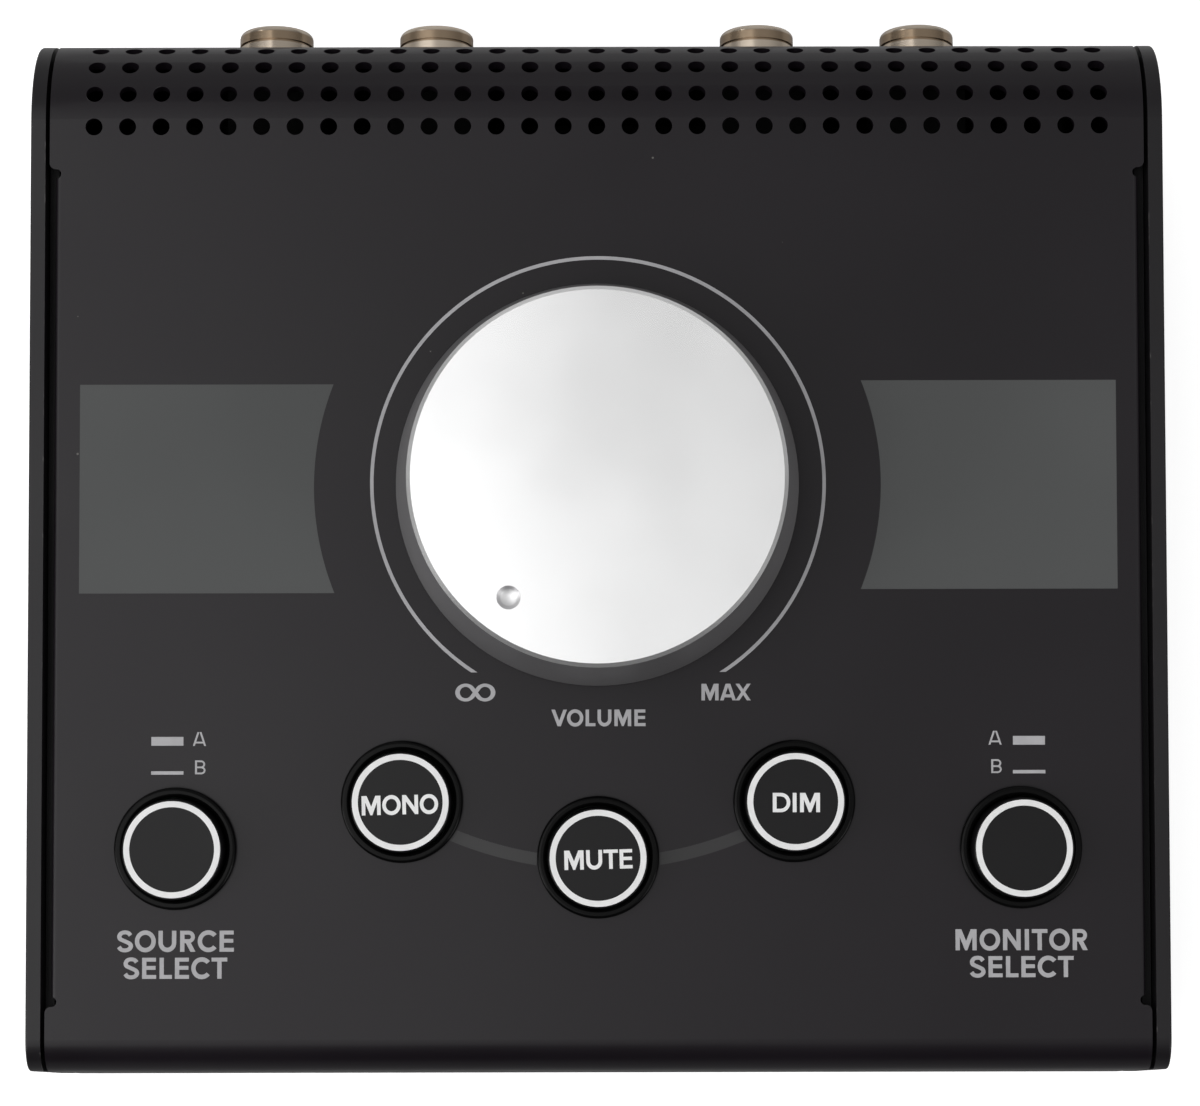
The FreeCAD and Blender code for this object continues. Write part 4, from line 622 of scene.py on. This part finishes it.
for name, (x, y) in press_place.items():
    shape = bmesh.new()
    loops = []
    for height in (CAP_INK, -CAP_INK):
        for radius, z in (profile if height > 0 else reversed(profile)):
            loops.append([shape.verts.new(((x + radius*math.cos(a))*MM, (y + radius*math.sin(a))*MM,
                                           (z + height)*MM))
                          for a in (2*math.pi*k/RING_STEPS for k in range(RING_STEPS))])
    for first, second in zip(loops, loops[1:] + loops[:1]):
        for k in range(RING_STEPS):
            after = (k + 1) % RING_STEPS
            shape.faces.new((first[k], first[after], second[after], second[k]))
    bmesh.ops.recalc_face_normals(shape, faces=shape.faces)
    mesh = bpy.data.meshes.new(f"{name}_cap_ring")
    shape.to_mesh(mesh)
    shape.free()
    new_piece(f"{name}_cap_ring", mesh, cap_ink, f"{name}_push")

# Each name's text, its offset from the cap's middle, its size, its letter spacing and its turn.
CAP_STROKE = 0.2
CAP_WORDS = {"mono": ("MONO", (-0.05, -0.4), (12.3, 3.1), -0.055, 1.4),
             "mute": ("MUTE", (0.05, -0.2), (10.95, 3.1), -0.05, 1.4),
             "dim": ("DIM", (0.1, -0.15), (7.6, 3.1), -0.02, -0.1)}
for name, (text, offset, size, spacing, turn) in CAP_WORDS.items():
    centre = (press_place[name][0] + offset[0], press_place[name][1] + offset[1])
    mesh = words(f"{name}_cap_word", text, centre, size, CAP_STROKE, spacing, turn,
                 low=(CAP_TOP - CAP_INK)*MM, high=(CAP_TOP + CAP_INK)*MM)
    new_piece(f"{name}_cap_word", mesh, cap_ink, f"{name}_push")

# ================================================================ studio
# A plain pale floor, one large soft box above the left front with a weak strip beside it, two low
# boxes off the front corners, two small spots, and soft light from the walls. What the object
# mirrors of the floor is grey, and darker towards the front.
FLOOR_HALF, FLOOR_SEEN, FLOOR_GLOW, FLOOR_MATT = 3.0, (0.9, 0.9, 0.9), 0.62, 0.9
FLOOR_FRONT, FLOOR_REAR, FLOOR_TURN = (0.27, 0.27, 0.27), (0.72, 0.72, 0.72), (-0.1, 0.25)
floor_mesh = bpy.data.meshes.new("studio_floor")
shape = bmesh.new()
bmesh.ops.create_grid(shape, x_segments=2, y_segments=2, size=FLOOR_HALF)
shape.to_mesh(floor_mesh)
shape.free()
floor = bpy.data.objects.new("studio_floor", floor_mesh)
bpy.context.scene.collection.objects.link(floor)
floor_finish = bpy.data.materials.new("pale_floor")
floor_finish.use_nodes = True
ground = floor_finish.node_tree
floor_shader = ground.nodes["Principled BSDF"]
seen = shader_node(ground, "ShaderNodeLightPath").outputs["Is Camera Ray"]
lengthways = shader_node(ground, "ShaderNodeSeparateXYZ", {"Vector": object_place(ground)}).outputs["Y"]
around = blend_colours(ground, remap(ground, lengthways, *FLOOR_TURN, 0.0, 1.0),
                       FLOOR_FRONT, FLOOR_REAR)
ground.links.new(blend_colours(ground, seen, around, FLOOR_SEEN), floor_shader.inputs["Base Color"])
ground.links.new(maths(ground, "MULTIPLY", seen, FLOOR_GLOW), floor_shader.inputs["Emission Strength"])
floor_shader.inputs["Emission Color"].default_value = (1, 1, 1, 1)
floor_shader.inputs["Roughness"].default_value = FLOOR_MATT
floor_shader.inputs["Specular IOR Level"].default_value = 0.0
floor_mesh.materials.append(floor_finish)

# The studio's ceiling is bright, its rear wall a little less, and the other walls are grey; one
# soft patch in front of the ceiling's middle stays dark. Each set holds two values of a
# direction's Z or Y, or of how squarely it faces the patch, and the glow at either.
CEILING, CEILING_LEAN = (0.0, 0.9, 0.33, 0.62), (-0.25, 0.12, 1.10, 0.90)
REAR_WALL, REAR_DIP = (0.50, 1.0, 0.0, 0.32), (0.10, 0.45, 1.0, 0.70)
FRONT_FADE = (-0.85, -0.35, 0.10, 1.0)
PATCH_TOWARDS, PATCH = (0.0, -0.56, 0.83), (0.955, 0.995, 1.0, 0.35)
world = bpy.data.worlds.new("studio_air")
world.use_nodes = True
air = world.node_tree
towards = shader_node(air, "ShaderNodeTexCoord").outputs["Generated"]
axes = shader_node(air, "ShaderNodeSeparateXYZ", {"Vector": towards}).outputs
ceiling = maths(air, "MULTIPLY", remap(air, axes["Z"], *CEILING),
                remap(air, axes["Y"], *CEILING_LEAN))
rear_wall = remap(air, axes["Y"], *REAR_WALL)
rear_dip = remap(air, axes["Y"], *REAR_DIP)
front_fade = remap(air, axes["Y"], *FRONT_FADE)
facing = shader_node(air, "ShaderNodeVectorMath", {0: towards, 1: PATCH_TOWARDS},
                     operation="DOT_PRODUCT").outputs["Value"]
dark_patch = remap(air, facing, *PATCH)
walls = maths(air, "ADD", maths(air, "MULTIPLY", ceiling, rear_dip), rear_wall)
glow = maths(air, "MULTIPLY", walls, maths(air, "MULTIPLY", dark_patch, front_fade))
behind = shader_node(air, "ShaderNodeLightPath").outputs["Is Camera Ray"]
air.links.new(maths(air, "MAXIMUM", glow, behind), air.nodes["Background"].inputs["Strength"])
air.nodes["Background"].inputs["Color"].default_value = (1, 1, 1, 1)
bpy.context.scene.world = world


def soft_box(name, place, target, size, power):
    """A rectangular area light that faces a point; places and sizes in metres, power in watts."""
    light = bpy.data.lights.new(name, "AREA")
    light.shape = "RECTANGLE"
    light.size, light.size_y = size
    light.energy = power
    lamp = bpy.data.objects.new(name, light)
    lamp.location = place
    lamp.rotation_mode = "QUATERNION"
    lamp.rotation_quaternion = (Vector(target) - Vector(place)).to_track_quat("-Z", "Y")
    bpy.context.scene.collection.objects.link(lamp)


soft_box("key_box", (-0.78, -0.27, 1.45), (0.0, 0.0, 0.05), (1.6, 1.50), 10.6)
soft_box("left_strip", (-0.60, -0.15, 1.35), (0.0, 0.0, 0.05), (0.5, 1.0), 0.32)
soft_box("front_left_box", (-1.02, -0.46, 0.50), (0.0, 0.0, 0.07), (0.5, 0.3), 3.2)
soft_box("front_right_box", (0.88, -0.62, 0.50), (0.0, 0.0, 0.07), (0.4, 0.3), 2.2)
soft_box("right_spot", (0.70, 0.02, 1.40), (0.0, 0.0, 0.05), (0.24, 0.24), 0.4)
soft_box("rear_left_spot", (-0.75, 0.62, 0.75), (0.0, 0.0, 0.05), (0.16, 0.16), 0.35)

# ================================================================ camera
# Above the panel, with its axis leaning a little to the front from the panel's own normal. It
# aims a little below the knob, with a trace of roll, and a shift that centres the object.
LENS_MM, SENSOR_MM, REACH_MM, LEAN = 105.08, 36.0, 570.4, math.radians(2.95)
AIM_MM, OFF_CENTRE, ROLL = -11.13, 2.5/1200, math.radians(0.11)
camera = bpy.data.cameras.new("studio_camera")
camera.sensor_width = SENSOR_MM
camera.lens = LENS_MM
camera.shift_x = OFF_CENTRE
camera.clip_start, camera.clip_end = 0.01, 20.0
eye = bpy.data.objects.new("studio_camera", camera)
eye.matrix_world = PANEL @ Matrix.Translation((0, AIM_MM*MM, 0)) @ Matrix.Rotation(LEAN, 4, "X") \
    @ Matrix.Translation((0, 0, REACH_MM*MM)) @ Matrix.Rotation(-ROLL, 4, "Z")
bpy.context.scene.collection.objects.link(eye)
bpy.context.scene.camera = eye
bpy.context.scene.view_settings.view_transform = "Standard"
